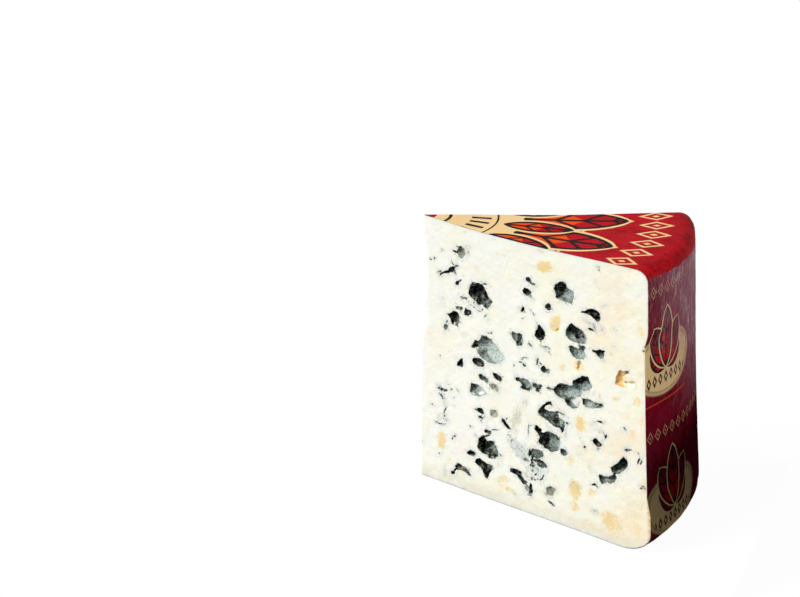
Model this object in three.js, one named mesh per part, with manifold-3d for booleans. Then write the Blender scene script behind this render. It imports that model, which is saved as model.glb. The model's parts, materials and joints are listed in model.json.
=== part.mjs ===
// A wedge cut from a tall wheel of blue cheese, with the foil wrapper it was cut through.
// Millimetres, +Z up. The wedge stands on the wheel's base: its tip points to -X, its rim to +X,
// and the front cut faces -Y. The origin is under the middle of the wedge, on the surface it stands on.
import * as THREE from 'three';
import { mergeVertices } from 'three/addons/utils/BufferGeometryUtils.js';
import Module from 'manifold-3d';

const wasm = await Module();
wasm.setup();

// The wheel that the wedge is cut from.
const WHEEL_RADIUS = 98; // at half its height, before the rim's hollow
const WHEEL_HEIGHT = 101; // of the top's edge
const RIM_TAPER = 7; // the base's radius less the top's
const RIM_HOLLOW = 0.4; // how far the rim sinks in at half height
const BASE_SHOULDER = { across: 13.5, high: 8 };
const TOP_SHOULDER = { across: 5, high: 4 };

// The top is dished, deeper along the front cut than along the back one.
const TOP_DISH = {
  atTip: 0.65,
  alongFront: 1.4,
  alongBack: 0.9,
  deepestFrom: 30, // radius
  risesFrom: 45,
  risesTo: 95,
};

// The rim is pressed in next to the front cut. Turns are shares of the wedge's half angle.
const RIM_DENT = { depth: 1.15, heights: [14, 22, 75, 80], turns: [0.25, 1], radii: [60, 90] };

// The cuts.
const WEDGE_ANGLE = THREE.MathUtils.degToRad(41.8);
const TIP_SETBACK = 0.2; // the knives don't quite meet: the tip is a narrow blunt edge
const TIP_CHIPS = [
  { height: 73, spread: 15, depth: 1.5 },
  { height: 86.5, spread: 5, depth: 0.9 },
  { height: 79, spread: 5, depth: 0.6 },
  { height: 61, spread: 4, depth: 1.5 },
];
const CUT_WAVE = 0.35; // how far the cuts stray from flat

// The wrapper.
const FOIL_THICKNESS = 0.4;
const FOIL_GAP = 0.3;

// How finely curved faces are split.
const RIM_SEGMENTS = 96; // round the whole wheel
const SHOULDER_STEPS = 5;
const RIM_STEPS = 13;
const TOP_STEPS = 8;
const CUT_STEPS_ALONG = 8;
const CUT_STEPS_UP = 20;

// The smaller eyes of the front cut: distance from the tip, height, half length, half width, tilt
// in degrees from level, and depth.
const FRONT_EYES = [
  [17.3, 90.5, 2.0, 1.5, 80, 1.3],
  [13.2, 83.2, 1.8, 0.8, 38, 1.8],
  [11.0, 81.6, 1.8, 0.5, 20, 1.4],
  [15.5, 78.4, 1.1, 0.6, 55, 1.6],
  [20.4, 68.6, 1.4, 1.1, 0, 1.8],
  [25.4, 51.1, 2.4, 1.3, -4, 3.6],
  [46.6, 87.0, 1.1, 0.8, 0, 1.6],
  [45.7, 82.5, 1.9, 1.1, -12, 3.0],
  [55.0, 79.3, 1.1, 1.1, 0, 2.2],
  [54.2, 56.3, 1.2, 1.2, 0, 1.8],
  [55.5, 56.2, 1.2, 1.0, 0, 1.2],
  [43.4, 49.4, 1.1, 0.8, 5, 1.8],
  [51.5, 49.2, 2.0, 1.0, 0, 1.4],
  [17.5, 48.5, 1.7, 1.2, 55, 2.4],
  [34.0, 47.9, 2.0, 1.0, -18, 2.4],
  [27.2, 45.8, 1.4, 1.0, -10, 2.0],
  [29.1, 45.2, 1.1, 1.0, 20, 1.6],
  [27.0, 33.0, 1.5, 1.2, 0, 2.4],
  [38.5, 31.0, 2.1, 0.7, -42, 2.0],
  [30.5, 26.0, 1.5, 0.8, 6, 1.4],
  [23.6, 15.6, 1.8, 0.9, 8, 2.4],
  [50.1, 9.5, 2.5, 0.7, 86, 2.6],
  [54.2, 21.0, 2.1, 0.9, -8, 2.2],
  [54.0, 19.9, 1.6, 0.8, 0, 1.6],
  [63.8, 28.0, 1.7, 1.1, 0, 1.6],
  [77.4, 35.7, 1.9, 1.3, -5, 2.6],
  [58.0, 74.2, 1.9, 0.9, 60, 1.2],
  [9.7, 16.2, 2.4, 1.6, 88, 1.0],
  [68.7, 15.6, 2.4, 1.4, 88, 1.0],
  [58.6, 11.6, 2.2, 1.5, 25, 1.0],
  [52.0, 23.6, 3.0, 1.7, 5, 1.0],
  [68.8, 61.4, 1.4, 1.2, 70, 1.0],
];

// The larger eyes of the front cut, each with its depth and the outline of its opening: pairs of
// distance from the tip and height. A long hole is two or three that run into each other.
const OUTLINED_EYES = [
  {
    depth: 6.5,
    outline: [
      [20.4, 75.9], [21.1, 78.4], [22.2, 80.0], [24.2, 80.6], [26.8, 80.7], [28.2, 78.6],
      [29.4, 76.8], [31.2, 75.3], [30.4, 73.6], [28.8, 71.9], [27.0, 72.7], [25.0, 72.1],
      [23.9, 73.7], [22.0, 74.3],
    ],
  },
  {
    depth: 4.0,
    outline: [
      [10.8, 65.5], [12.4, 66.4], [14.0, 67.7], [15.5, 67.6], [16.4, 66.2], [16.5, 64.4],
      [15.9, 62.1], [14.7, 62.8], [13.6, 62.3], [12.6, 63.4], [12.2, 64.6],
    ],
  },
  {
    depth: 3.2,
    outline: [
      [22.0, 56.0], [22.9, 57.6], [23.6, 59.2], [25.4, 59.0], [26.4, 61.0], [28.5, 62.0],
      [32.4, 60.1], [34.6, 58.2], [36.8, 55.8], [36.2, 54.6], [33.0, 52.4], [29.8, 52.2],
      [26.4, 53.4], [24.0, 55.3],
    ],
  },
  {
    depth: 4.8,
    outline: [
      [57.0, 86.2], [57.3, 88.0], [59.0, 89.1], [60.6, 89.7], [61.9, 89.4], [62.4, 88.1],
      [65.0, 87.2], [65.4, 85.8], [64.8, 82.6], [61.6, 82.8], [58.0, 83.4], [58.0, 85.0],
    ],
  },
  {
    depth: 4.2,
    outline: [
      [68.8, 80.8], [70.4, 81.8], [71.4, 82.5], [73.2, 82.9], [75.2, 82.8], [76.2, 81.9],
      [76.3, 80.0], [75.8, 79.0], [74.8, 79.0], [73.4, 80.0], [71.6, 80.6],
    ],
  },
  {
    depth: 4.4,
    outline: [
      [62.6, 73.0], [63.7, 74.4], [64.7, 75.9], [66.4, 75.1], [68.4, 74.7], [70.4, 73.5],
      [71.4, 71.8], [70.9, 70.1], [68.6, 69.4], [66.0, 69.4], [64.2, 69.9], [63.1, 71.0],
    ],
  },
  {
    depth: 2.6,
    outline: [
      [64.1, 67.3], [65.5, 68.1], [66.8, 67.5], [68.0, 68.6], [70.3, 69.0], [70.5, 67.2],
      [71.5, 65.6], [70.6, 64.2], [68.2, 63.9], [66.4, 64.1], [64.9, 65.6],
    ],
  },
  {
    depth: 5.0,
    outline: [
      [49.7, 67.6], [50.1, 69.6], [51.1, 70.5], [51.6, 71.8], [52.8, 71.0], [54.0, 70.2],
      [54.3, 68.6], [53.8, 67.2], [52.6, 66.5], [50.8, 66.7],
    ],
  },
  {
    depth: 2.8,
    outline: [
      [74.1, 68.4], [75.4, 69.0], [76.8, 69.4], [78.4, 69.3], [78.7, 68.0], [78.5, 66.8],
      [77.4, 66.3], [76.2, 66.9], [75.0, 67.8],
    ],
  },
  {
    depth: 2.2,
    outline: [
      [39.8, 65.2], [40.4, 66.6], [42.0, 66.2], [43.4, 66.9], [44.5, 66.6], [44.5, 65.2],
      [45.2, 64.0], [44.6, 62.5], [43.3, 62.0], [42.2, 63.0], [40.6, 63.8],
    ],
  },
  {
    depth: 3.4,
    outline: [
      [58.4, 50.2], [60.0, 51.9], [61.0, 53.1], [62.8, 53.5], [65.2, 53.2], [67.4, 54.2],
      [70.4, 53.8], [70.6, 51.0], [68.6, 50.0], [67.0, 48.5], [64.6, 47.6], [60.4, 48.1],
      [59.0, 49.2],
    ],
  },
  {
    depth: 3.6,
    outline: [
      [66.5, 54.0], [66.9, 55.6], [68.6, 56.8], [70.4, 58.2], [72.6, 58.3], [73.7, 56.8],
      [74.3, 55.2], [73.5, 53.8], [71.4, 53.1], [69.4, 53.0],
    ],
  },
  {
    depth: 3.0,
    outline: [
      [63.4, 47.9], [65.4, 48.8], [66.6, 47.9], [67.6, 47.0], [69.2, 46.3], [67.4, 45.4],
      [65.4, 45.8], [64.2, 46.6],
    ],
  },
  {
    depth: 1.8,
    outline: [
      [70.6, 50.3], [72.2, 50.3], [74.2, 50.5], [76.6, 50.1], [78.2, 50.2], [79.1, 49.6],
      [78.6, 48.7], [76.8, 48.3], [74.6, 47.6], [72.4, 47.8], [71.4, 48.1],
    ],
  },
  {
    depth: 1.8,
    outline: [
      [44.1, 49.6], [45.4, 50.7], [47.6, 50.3], [49.2, 49.2], [49.6, 47.8], [48.2, 46.3],
      [46.2, 46.5], [44.3, 46.6], [45.0, 48.0],
    ],
  },
  {
    depth: 2.2,
    outline: [
      [21.9, 39.2], [22.3, 41.0], [22.4, 42.4], [24.4, 42.7], [27.0, 42.0], [28.4, 41.2],
      [29.8, 40.4], [28.2, 39.4], [26.6, 38.4], [24.2, 38.0], [22.7, 38.3],
    ],
  },
  {
    depth: 4.6,
    outline: [
      [52.3, 39.7], [53.0, 41.2], [54.2, 43.0], [55.9, 44.4], [57.8, 45.0], [58.8, 43.6],
      [60.6, 42.5], [61.2, 40.5], [63.8, 39.6], [63.9, 37.6], [63.3, 35.3], [61.6, 36.8],
      [60.2, 36.3], [56.4, 37.8], [54.0, 38.5],
    ],
  },
  {
    depth: 5.6,
    outline: [
      [50.7, 33.2], [52.0, 34.6], [53.4, 34.0], [54.8, 33.4], [57.4, 34.0], [59.6, 33.7],
      [61.6, 32.6], [62.4, 30.8], [62.1, 29.2], [61.0, 27.8], [59.6, 26.7], [58.0, 26.5],
      [56.0, 27.8], [54.2, 27.9], [52.8, 28.8], [53.6, 30.2], [52.9, 31.4],
    ],
  },
  {
    depth: 5.0,
    outline: [
      [26.2, 18.4], [26.5, 20.4], [26.4, 22.1], [28.8, 24.0], [30.4, 22.3], [31.9, 23.0],
      [33.5, 22.9], [34.4, 20.8], [35.7, 19.4], [35.4, 17.8], [34.2, 17.0], [32.6, 16.0],
      [31.5, 17.1], [28.4, 17.0],
    ],
  },
  {
    depth: 3.8,
    outline: [
      [25.2, 12.4], [25.7, 13.8], [27.4, 14.8], [28.8, 14.0], [31.8, 13.5], [33.7, 13.4],
      [32.9, 11.6], [31.8, 10.4], [31.6, 8.8], [31.0, 7.6], [29.9, 8.0], [29.3, 9.4], [28.0, 11.2],
      [26.6, 11.8],
    ],
  },
  {
    depth: 2.0,
    outline: [
      [15.9, 8.0], [17.4, 9.9], [19.0, 9.6], [20.8, 9.1], [22.2, 8.4], [23.6, 6.6], [22.4, 6.3],
      [20.6, 7.2], [18.8, 7.5], [17.0, 6.9],
    ],
  },
  {
    depth: 2.8,
    outline: [
      [41.0, 14.8], [42.4, 15.3], [44.4, 15.2], [45.8, 14.9], [46.0, 13.2], [45.2, 12.2],
      [43.6, 13.2], [41.2, 13.3],
    ],
  },
  {
    depth: 2.6,
    outline: [
      [44.4, 13.2], [46.0, 13.2], [46.9, 12.4], [48.6, 11.8], [47.8, 10.9], [46.8, 10.3],
      [45.6, 11.3], [44.6, 12.3],
    ],
  },
  {
    depth: 3.2,
    outline: [
      [83.6, 28.2], [84.6, 29.2], [86.4, 30.6], [87.4, 32.4], [88.6, 34.0], [90.1, 32.6],
      [90.6, 31.2], [89.8, 30.0], [88.6, 28.6], [87.0, 27.0], [85.4, 26.4], [84.1, 26.8],
    ],
  },
  {
    depth: 2.2,
    outline: [
      [78.8, 23.4], [79.2, 24.4], [80.8, 24.2], [82.4, 24.5], [83.7, 25.0], [84.6, 25.9],
      [85.8, 25.0], [85.0, 23.2], [83.5, 22.1], [82.3, 22.4], [81.4, 21.7], [80.4, 20.9],
      [79.3, 21.8],
    ],
  },
  {
    depth: 1.6,
    outline: [
      [83.6, 58.7], [83.9, 61.0], [84.6, 63.4], [85.4, 64.5], [88.4, 64.9], [89.2, 63.2],
      [90.8, 62.4], [91.6, 60.8], [91.0, 59.2], [88.4, 58.7], [86.0, 58.5],
    ],
  },
];

// How a larger eye narrows inwards: shares of its depth and of its outline.
const EYE_WALL = [
  [-0.3, 1.03],
  [0.5, 0.93],
  [0.85, 0.66],
];

// The eyes of the back cut are drawn from a seeded generator, in the same mix of sizes.
const BACK_EYES = {
  count: 34,
  seed: 41,
  along: [9, 86],
  height: [8, 93],
  largestHalfLength: 5.4,
  smallestHalfLength: 1.2,
  spacing: 1.7, // least distance between two eyes, in half lengths of both
};

// The form of an eye: a rounded lump cut by a few flats, sunk into the cut.
const EYE = {
  flats: 9,
  nearestFlat: 0.7, // flats lie this far from the middle, or further
  reach: 1.12, // of the lump where no flat cuts it
  sink: 0.3, // of the middle below the cut, as a share of the lump's depth
  swell: 1.08, // makes up for what the flats take off the opening
  fineFrom: 4.4, // half length from which an eye gets the finest faces
  plainUpTo: 1.9, // half length up to which it gets the fewest
};

// A repeatable stream of numbers from 0 to 1.
function seededRandom(seed) {
  let state = seed;
  return () => {
    state = (state * 1664525 + 1013904223) % 4294967296;
    return state / 4294967296;
  };
}

function solidFrom(geometry) {
  geometry.deleteAttribute('normal');
  geometry.deleteAttribute('uv');
  const merged = mergeVertices(geometry, 1e-4);
  const corners = merged.index.array;
  const kept = [];
  for (let i = 0; i < corners.length; i += 3) {
    const [a, b, c] = corners.slice(i, i + 3);
    if (a !== b && b !== c && c !== a) kept.push(a, b, c);
  }
  return new wasm.Manifold(
    new wasm.Mesh({
      numProp: 3,
      vertProperties: merged.attributes.position.array,
      triVerts: new Uint32Array(kept),
    }),
  );
}

function geometryFrom(solid) {
  const mesh = solid.getMesh();
  const geometry = new THREE.BufferGeometry();
  geometry.setAttribute('position', new THREE.BufferAttribute(mesh.vertProperties, 3));
  geometry.setIndex(new THREE.BufferAttribute(mesh.triVerts, 1));
  geometry.computeVertexNormals();
  return geometry;
}

function rimRadius(height) {
  const level = height / WHEEL_HEIGHT;
  return WHEEL_RADIUS + RIM_TAPER * (0.5 - level) - RIM_HOLLOW * Math.sin(Math.PI * level) ** 2;
}

// How far the dished top lies below its edge. Turns are from the wedge's middle line.
function topDrop(radius, turn) {
  const { clamp, lerp, smoothstep } = THREE.MathUtils;
  const back = clamp((1 + turn / (WEDGE_ANGLE / 2)) / 2, 0, 1);
  const deepest = lerp(TOP_DISH.alongFront, TOP_DISH.alongBack, back);
  const inner = lerp(TOP_DISH.atTip, deepest, smoothstep(radius, 0, TOP_DISH.deepestFrom));
  return inner * (1 - smoothstep(radius, TOP_DISH.risesFrom, TOP_DISH.risesTo));
}

// How far the rim is pressed in.
function rimDent(radius, turn, height) {
  const { smoothstep } = THREE.MathUtils;
  const [low, lowEnd, high, highEnd] = RIM_DENT.heights;
  const up = smoothstep(height, low, lowEnd) * (1 - smoothstep(height, high, highEnd));
  const front = smoothstep(-turn / (WEDGE_ANGLE / 2), ...RIM_DENT.turns);
  return RIM_DENT.depth * up * front * smoothstep(radius, ...RIM_DENT.radii);
}

// Half of the wheel's section, from the axis at the base, round the rim, to the axis at the top.
function wheelOutline() {
  const points = [new THREE.Vector2(0, 0)];
  const baseRadius = rimRadius(BASE_SHOULDER.high);
  for (let step = 0; step <= SHOULDER_STEPS; step++) {
    const turn = (step / SHOULDER_STEPS) * (Math.PI / 2);
    const radius = baseRadius - BASE_SHOULDER.across * (1 - Math.sin(turn));
    points.push(new THREE.Vector2(radius, BASE_SHOULDER.high * (1 - Math.cos(turn))));
  }
  const rimTop = WHEEL_HEIGHT - TOP_SHOULDER.high;
  for (let step = 1; step < RIM_STEPS; step++) {
    const height = THREE.MathUtils.lerp(BASE_SHOULDER.high, rimTop, step / RIM_STEPS);
    points.push(new THREE.Vector2(rimRadius(height), height));
  }
  const shoulderRadius = rimRadius(rimTop) - TOP_SHOULDER.across;
  for (let step = 0; step <= SHOULDER_STEPS; step++) {
    const turn = (step / SHOULDER_STEPS) * (Math.PI / 2);
    const radius = shoulderRadius + TOP_SHOULDER.across * Math.cos(turn);
    points.push(new THREE.Vector2(radius, rimTop + TOP_SHOULDER.high * Math.sin(turn)));
  }
  for (let step = TOP_STEPS - 1; step >= 0; step--) {
    points.push(new THREE.Vector2((shoulderRadius * step) / TOP_STEPS, WHEEL_HEIGHT));
  }
  return points;
}

// The same outline moved inwards, square to itself.
function insetOutline(outline, inset) {
  return outline.map((point, i) => {
    const before = outline[Math.max(i - 1, 0)];
    const after = outline[Math.min(i + 1, outline.length - 1)];
    const run = after.clone().sub(before).normalize();
    const moved = new THREE.Vector2(point.x - run.y * inset, point.y + run.x * inset);
    if (point.x === 0) moved.set(0, point.y + Math.sign(run.x) * inset);
    return moved;
  });
}

function wheelSolid(inset) {
  const outline = insetOutline(wheelOutline(), inset);
  const turned = new THREE.LatheGeometry(outline, RIM_SEGMENTS);
  turned.rotateX(Math.PI / 2);
  const corners = turned.attributes.position;
  for (let i = 0; i < corners.count; i++) {
    const [x, y, height] = [corners.getX(i), corners.getY(i), corners.getZ(i)];
    const radius = Math.hypot(x, y);
    const turn = Math.atan2(y, x);
    const share = 1 - rimDent(radius, turn, height) / Math.max(radius, 1);
    const drop = topDrop(radius, turn) * (height / WHEEL_HEIGHT) ** 4;
    corners.setXYZ(i, x * share, y * share, height - drop);
  }
  return solidFrom(turned);
}

// How far the tip stands back at a height, where crumbs have chipped off it.
function tipSetback(height) {
  const chips = TIP_CHIPS.map(
    (chip) => chip.depth * Math.exp(-(((height - chip.height) / chip.spread) ** 2)),
  );
  return TIP_SETBACK + chips.reduce((sum, depth) => sum + depth, 0);
}

// How far a cut strays outwards from its plane.
function cutWave(along, height) {
  return CUT_WAVE * Math.sin(along / 17 + 0.6) * Math.sin(height / 14 + along / 40);
}

// The space between the two cuts, past the wheel on every other side.
function wedgeSpace() {
  const past = 4;
  const reach = WHEEL_RADIUS + RIM_TAPER + past;
  const block = new THREE.BoxGeometry(1, 1, 1, CUT_STEPS_ALONG, 1, CUT_STEPS_UP);
  const corners = block.attributes.position;
  const half = WEDGE_ANGLE / 2;
  for (let i = 0; i < corners.count; i++) {
    const height = THREE.MathUtils.lerp(-past, WHEEL_HEIGHT + past, corners.getZ(i) + 0.5);
    const along = THREE.MathUtils.lerp(tipSetback(height), reach, corners.getX(i) + 0.5);
    const side = Math.sign(corners.getY(i));
    const across = along * Math.sin(half) + cutWave(along, height) * Math.min(1, along / 10);
    corners.setXYZ(i, along * Math.cos(half), side * across, height);
  }
  return solidFrom(block);
}

// A lump with a few flats, on the unit sphere's scale.
function eyeLump(random, detail) {
  const flats = [];
  for (let i = 0; i < EYE.flats; i++) {
    const rise = 2 * random() - 1;
    const turn = 2 * Math.PI * random();
    const flat = Math.sqrt(1 - rise * rise);
    flats.push({
      normal: new THREE.Vector3(flat * Math.cos(turn), flat * Math.sin(turn), rise),
      distance: EYE.nearestFlat + (1 - EYE.nearestFlat) * random(),
    });
  }
  const lump = new THREE.IcosahedronGeometry(1, detail);
  const corners = lump.attributes.position;
  const direction = new THREE.Vector3();
  for (let i = 0; i < corners.count; i++) {
    direction.fromBufferAttribute(corners, i).normalize();
    let reach = EYE.reach;
    for (const { normal, distance } of flats) {
      const facing = normal.dot(direction);
      if (facing > 0.05) reach = Math.min(reach, distance / facing);
    }
    direction.multiplyScalar(reach);
    corners.setXYZ(i, direction.x, direction.y, direction.z);
  }
  return lump;
}

function eyeDetail(halfLength) {
  if (halfLength >= EYE.fineFrom) return 2;
  return halfLength > EYE.plainUpTo ? 1 : 0;
}

// An eye opening in the cut on one side: -1 is the front, 1 the back.
function eyeSolid([along, height, halfLength, halfWidth, tilt, depth], side, seed) {
  const lump = eyeLump(seededRandom(seed), eyeDetail(halfLength));
  const lumpDepth = depth / (1 + EYE.sink);
  lump.scale(halfLength * EYE.swell, lumpDepth, halfWidth * EYE.swell);
  lump.rotateY(THREE.MathUtils.degToRad(side * tilt));
  const half = WEDGE_ANGLE / 2;
  const outwards = new THREE.Vector3(Math.cos(half), side * Math.sin(half), 0);
  const inwards = new THREE.Vector3(Math.sin(half), -side * Math.cos(half), 0);
  const up = new THREE.Vector3(0, 0, 1);
  const frame = new THREE.Matrix4().makeBasis(outwards.clone().multiplyScalar(-side), inwards, up);
  lump.applyMatrix4(frame);
  const middle = outwards.multiplyScalar(along).addScaledVector(inwards, EYE.sink * lumpDepth);
  lump.translate(middle.x, middle.y, height);
  return solidFrom(lump);
}

// The middle of the area inside an outline.
function outlineMiddle(outline) {
  let [area, along, height] = [0, 0, 0];
  outline.forEach(([a, h], i) => {
    const [nextA, nextH] = outline[(i + 1) % outline.length];
    const turn = a * nextH - nextA * h;
    area += turn;
    along += (a + nextA) * turn;
    height += (h + nextH) * turn;
  });
  return [along / (3 * area), height / (3 * area)];
}

// A larger eye opening in the front cut. Its outline runs clockwise.
function outlinedEyeSolid({ depth, outline }) {
  const half = WEDGE_ANGLE / 2;
  const [midAlong, midHeight] = outlineMiddle(outline);
  const corners = [];
  const addCorner = (along, height, inwards) => {
    const x = along * Math.cos(half) + inwards * Math.sin(half);
    const y = -along * Math.sin(half) + inwards * Math.cos(half);
    corners.push(x, y, height);
  };
  for (const [deep, wide] of EYE_WALL) {
    for (const [along, height] of outline) {
      const a = THREE.MathUtils.lerp(midAlong, along, wide);
      const h = THREE.MathUtils.lerp(midHeight, height, wide);
      addCorner(a, h, deep * depth);
    }
  }
  const count = outline.length;
  const mouth = EYE_WALL.length * count;
  const bottom = mouth + 1;
  addCorner(midAlong, midHeight, EYE_WALL[0][0] * depth);
  addCorner(midAlong, midHeight, depth);
  const faces = [];
  for (let i = 0; i < count; i++) {
    const next = (i + 1) % count;
    faces.push(mouth, next, i);
    for (let ring = 0; ring < EYE_WALL.length - 1; ring++) {
      const near = ring * count;
      const far = near + count;
      faces.push(near + i, near + next, far + i);
      faces.push(near + next, far + next, far + i);
    }
    faces.push(bottom, mouth - count + i, mouth - count + next);
  }
  const geometry = new THREE.BufferGeometry();
  geometry.setAttribute('position', new THREE.Float32BufferAttribute(corners, 3));
  geometry.setIndex(faces);
  return solidFrom(geometry);
}

function backEyes() {
  const random = seededRandom(BACK_EYES.seed);
  const between = ([low, high]) => low + (high - low) * random();
  const eyes = [];
  while (eyes.length < BACK_EYES.count) {
    const share = eyes.length / (BACK_EYES.count - 1);
    const halfLength =
      BACK_EYES.smallestHalfLength +
      (BACK_EYES.largestHalfLength - BACK_EYES.smallestHalfLength) * (1 - share) ** 2;
    const along = between(BACK_EYES.along);
    const height = between(BACK_EYES.height);
    const halfWidth = halfLength * between([0.45, 0.85]);
    const tilt = between([-60, 60]);
    const depth = 1.2 + halfLength * between([0.5, 1.1]);
    const crowded = eyes.some(
      (other) =>
        Math.hypot(other[0] - along, other[1] - height) <
        BACK_EYES.spacing * 0.5 * (other[2] + halfLength) + 2,
    );
    if (!crowded) eyes.push([along, height, halfLength, halfWidth, tilt, depth]);
  }
  return eyes;
}

// Crumbs that the eyes cut loose fall away.
function largestBody(solid) {
  return solid.decompose().reduce((best, body) => (body.volume() > best.volume() ? body : best));
}

function cheese() {
  let paste = wheelSolid(FOIL_THICKNESS + FOIL_GAP).intersect(wedgeSpace());
  FRONT_EYES.forEach((eye, i) => {
    paste = paste.subtract(eyeSolid(eye, -1, 100 + i));
  });
  for (const eye of OUTLINED_EYES) {
    paste = paste.subtract(outlinedEyeSolid(eye));
  }
  backEyes().forEach((eye, i) => {
    paste = paste.subtract(eyeSolid(eye, 1, 500 + i));
  });
  const material = new THREE.MeshStandardMaterial({ color: 0xf6efd9, roughness: 0.55, metalness: 0 });
  const mesh = new THREE.Mesh(geometryFrom(largestBody(paste)), material);
  mesh.name = 'cheese';
  return mesh;
}

function foil() {
  const sheet = wheelSolid(0).subtract(wheelSolid(FOIL_THICKNESS)).intersect(wedgeSpace());
  const material = new THREE.MeshStandardMaterial({ color: 0xb0162f, roughness: 0.35, metalness: 0.2 });
  const mesh = new THREE.Mesh(geometryFrom(sheet), material);
  mesh.name = 'foil';
  return mesh;
}

function wedge() {
  const group = new THREE.Group();
  group.add(cheese(), foil());
  const box = new THREE.Box3().setFromObject(group);
  const middle = box.getCenter(new THREE.Vector3());
  group.position.set(-middle.x, -middle.y, -box.min.z);
  return group;
}

export default wedge();
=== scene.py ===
"""The looks of a wedge of blue cheese in its cut foil wrapper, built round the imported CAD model."""
import functools
import json
import math

import bmesh
import bpy
import numpy as np
from mathutils import Matrix, Vector, noise

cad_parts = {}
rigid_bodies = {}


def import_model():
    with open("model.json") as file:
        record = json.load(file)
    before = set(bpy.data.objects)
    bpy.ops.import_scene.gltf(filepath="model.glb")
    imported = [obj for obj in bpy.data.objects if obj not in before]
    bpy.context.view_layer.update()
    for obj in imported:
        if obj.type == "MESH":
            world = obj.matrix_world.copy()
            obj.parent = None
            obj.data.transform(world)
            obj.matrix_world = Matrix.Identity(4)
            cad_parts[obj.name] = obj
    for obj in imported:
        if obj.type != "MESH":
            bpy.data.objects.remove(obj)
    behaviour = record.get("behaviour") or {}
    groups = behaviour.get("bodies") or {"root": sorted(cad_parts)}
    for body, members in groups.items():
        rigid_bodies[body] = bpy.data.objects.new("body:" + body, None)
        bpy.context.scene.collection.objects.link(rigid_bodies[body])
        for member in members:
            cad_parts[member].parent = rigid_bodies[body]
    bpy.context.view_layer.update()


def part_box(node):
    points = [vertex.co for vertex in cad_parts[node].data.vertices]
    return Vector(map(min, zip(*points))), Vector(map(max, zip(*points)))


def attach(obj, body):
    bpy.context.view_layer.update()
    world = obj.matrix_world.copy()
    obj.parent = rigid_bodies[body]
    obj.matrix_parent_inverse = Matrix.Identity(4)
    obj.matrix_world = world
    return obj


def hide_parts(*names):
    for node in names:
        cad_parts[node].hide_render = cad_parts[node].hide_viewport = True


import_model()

MM = 0.001

# The wheel that the wedge is cut from, in millimetres, as in the CAD source.
WHEEL_RADIUS = 98.0
WHEEL_HEIGHT = 101.0
RIM_TAPER = 7.0
RIM_HOLLOW = 0.4
RIM_DENT_DEPTH = 1.15
RIM_DENT_HEIGHTS = (14.0, 22.0, 75.0, 80.0)
RIM_DENT_TURNS = (0.25, 1.0)
RIM_DENT_RADII = (60.0, 90.0)
BASE_SHOULDER = (13.5, 8.0)
TOP_SHOULDER = (5.0, 4.0)
DISH_DEPTHS = (1.4, 0.9)
DISH_AT_TIP = 0.65
DISH_RADII = (30.0, 45.0, 95.0)
HALF_ANGLE = math.radians(41.8 / 2)
TIP_SETBACK = 0.2
TIP_CHIPS = ((73.0, 15.0, 1.5), (86.5, 5.0, 0.9), (79.0, 5.0, 0.6), (61.0, 4.0, 1.5))
CUT_WAVE = 0.35

# The wheel's axis in the part's frame: the foil's tip lies the setback away from it.
AXIS_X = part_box("foil")[0].x / MM - TIP_SETBACK * math.cos(HALF_ANGLE)

# Layers of the visual model, inwards from the CAD foil's outer face.
FOIL_SHEET = 0.12
PASTE_INSET = 0.16

FRONT, BACK = -1, 1

# What lines an eye: the mould's own colours and clean paste; BLACK and DARK are partly painted shade of
# deep, shadowed walls.
BLACK, DARK, GREEN, MID, GREY, PALE, MOSS, OLIVE, TEAL, BROWN, HONEY, AMBER, STRAW, CRUMB = range(14)
CLEAN = (HONEY, AMBER, STRAW, CRUMB)

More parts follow.
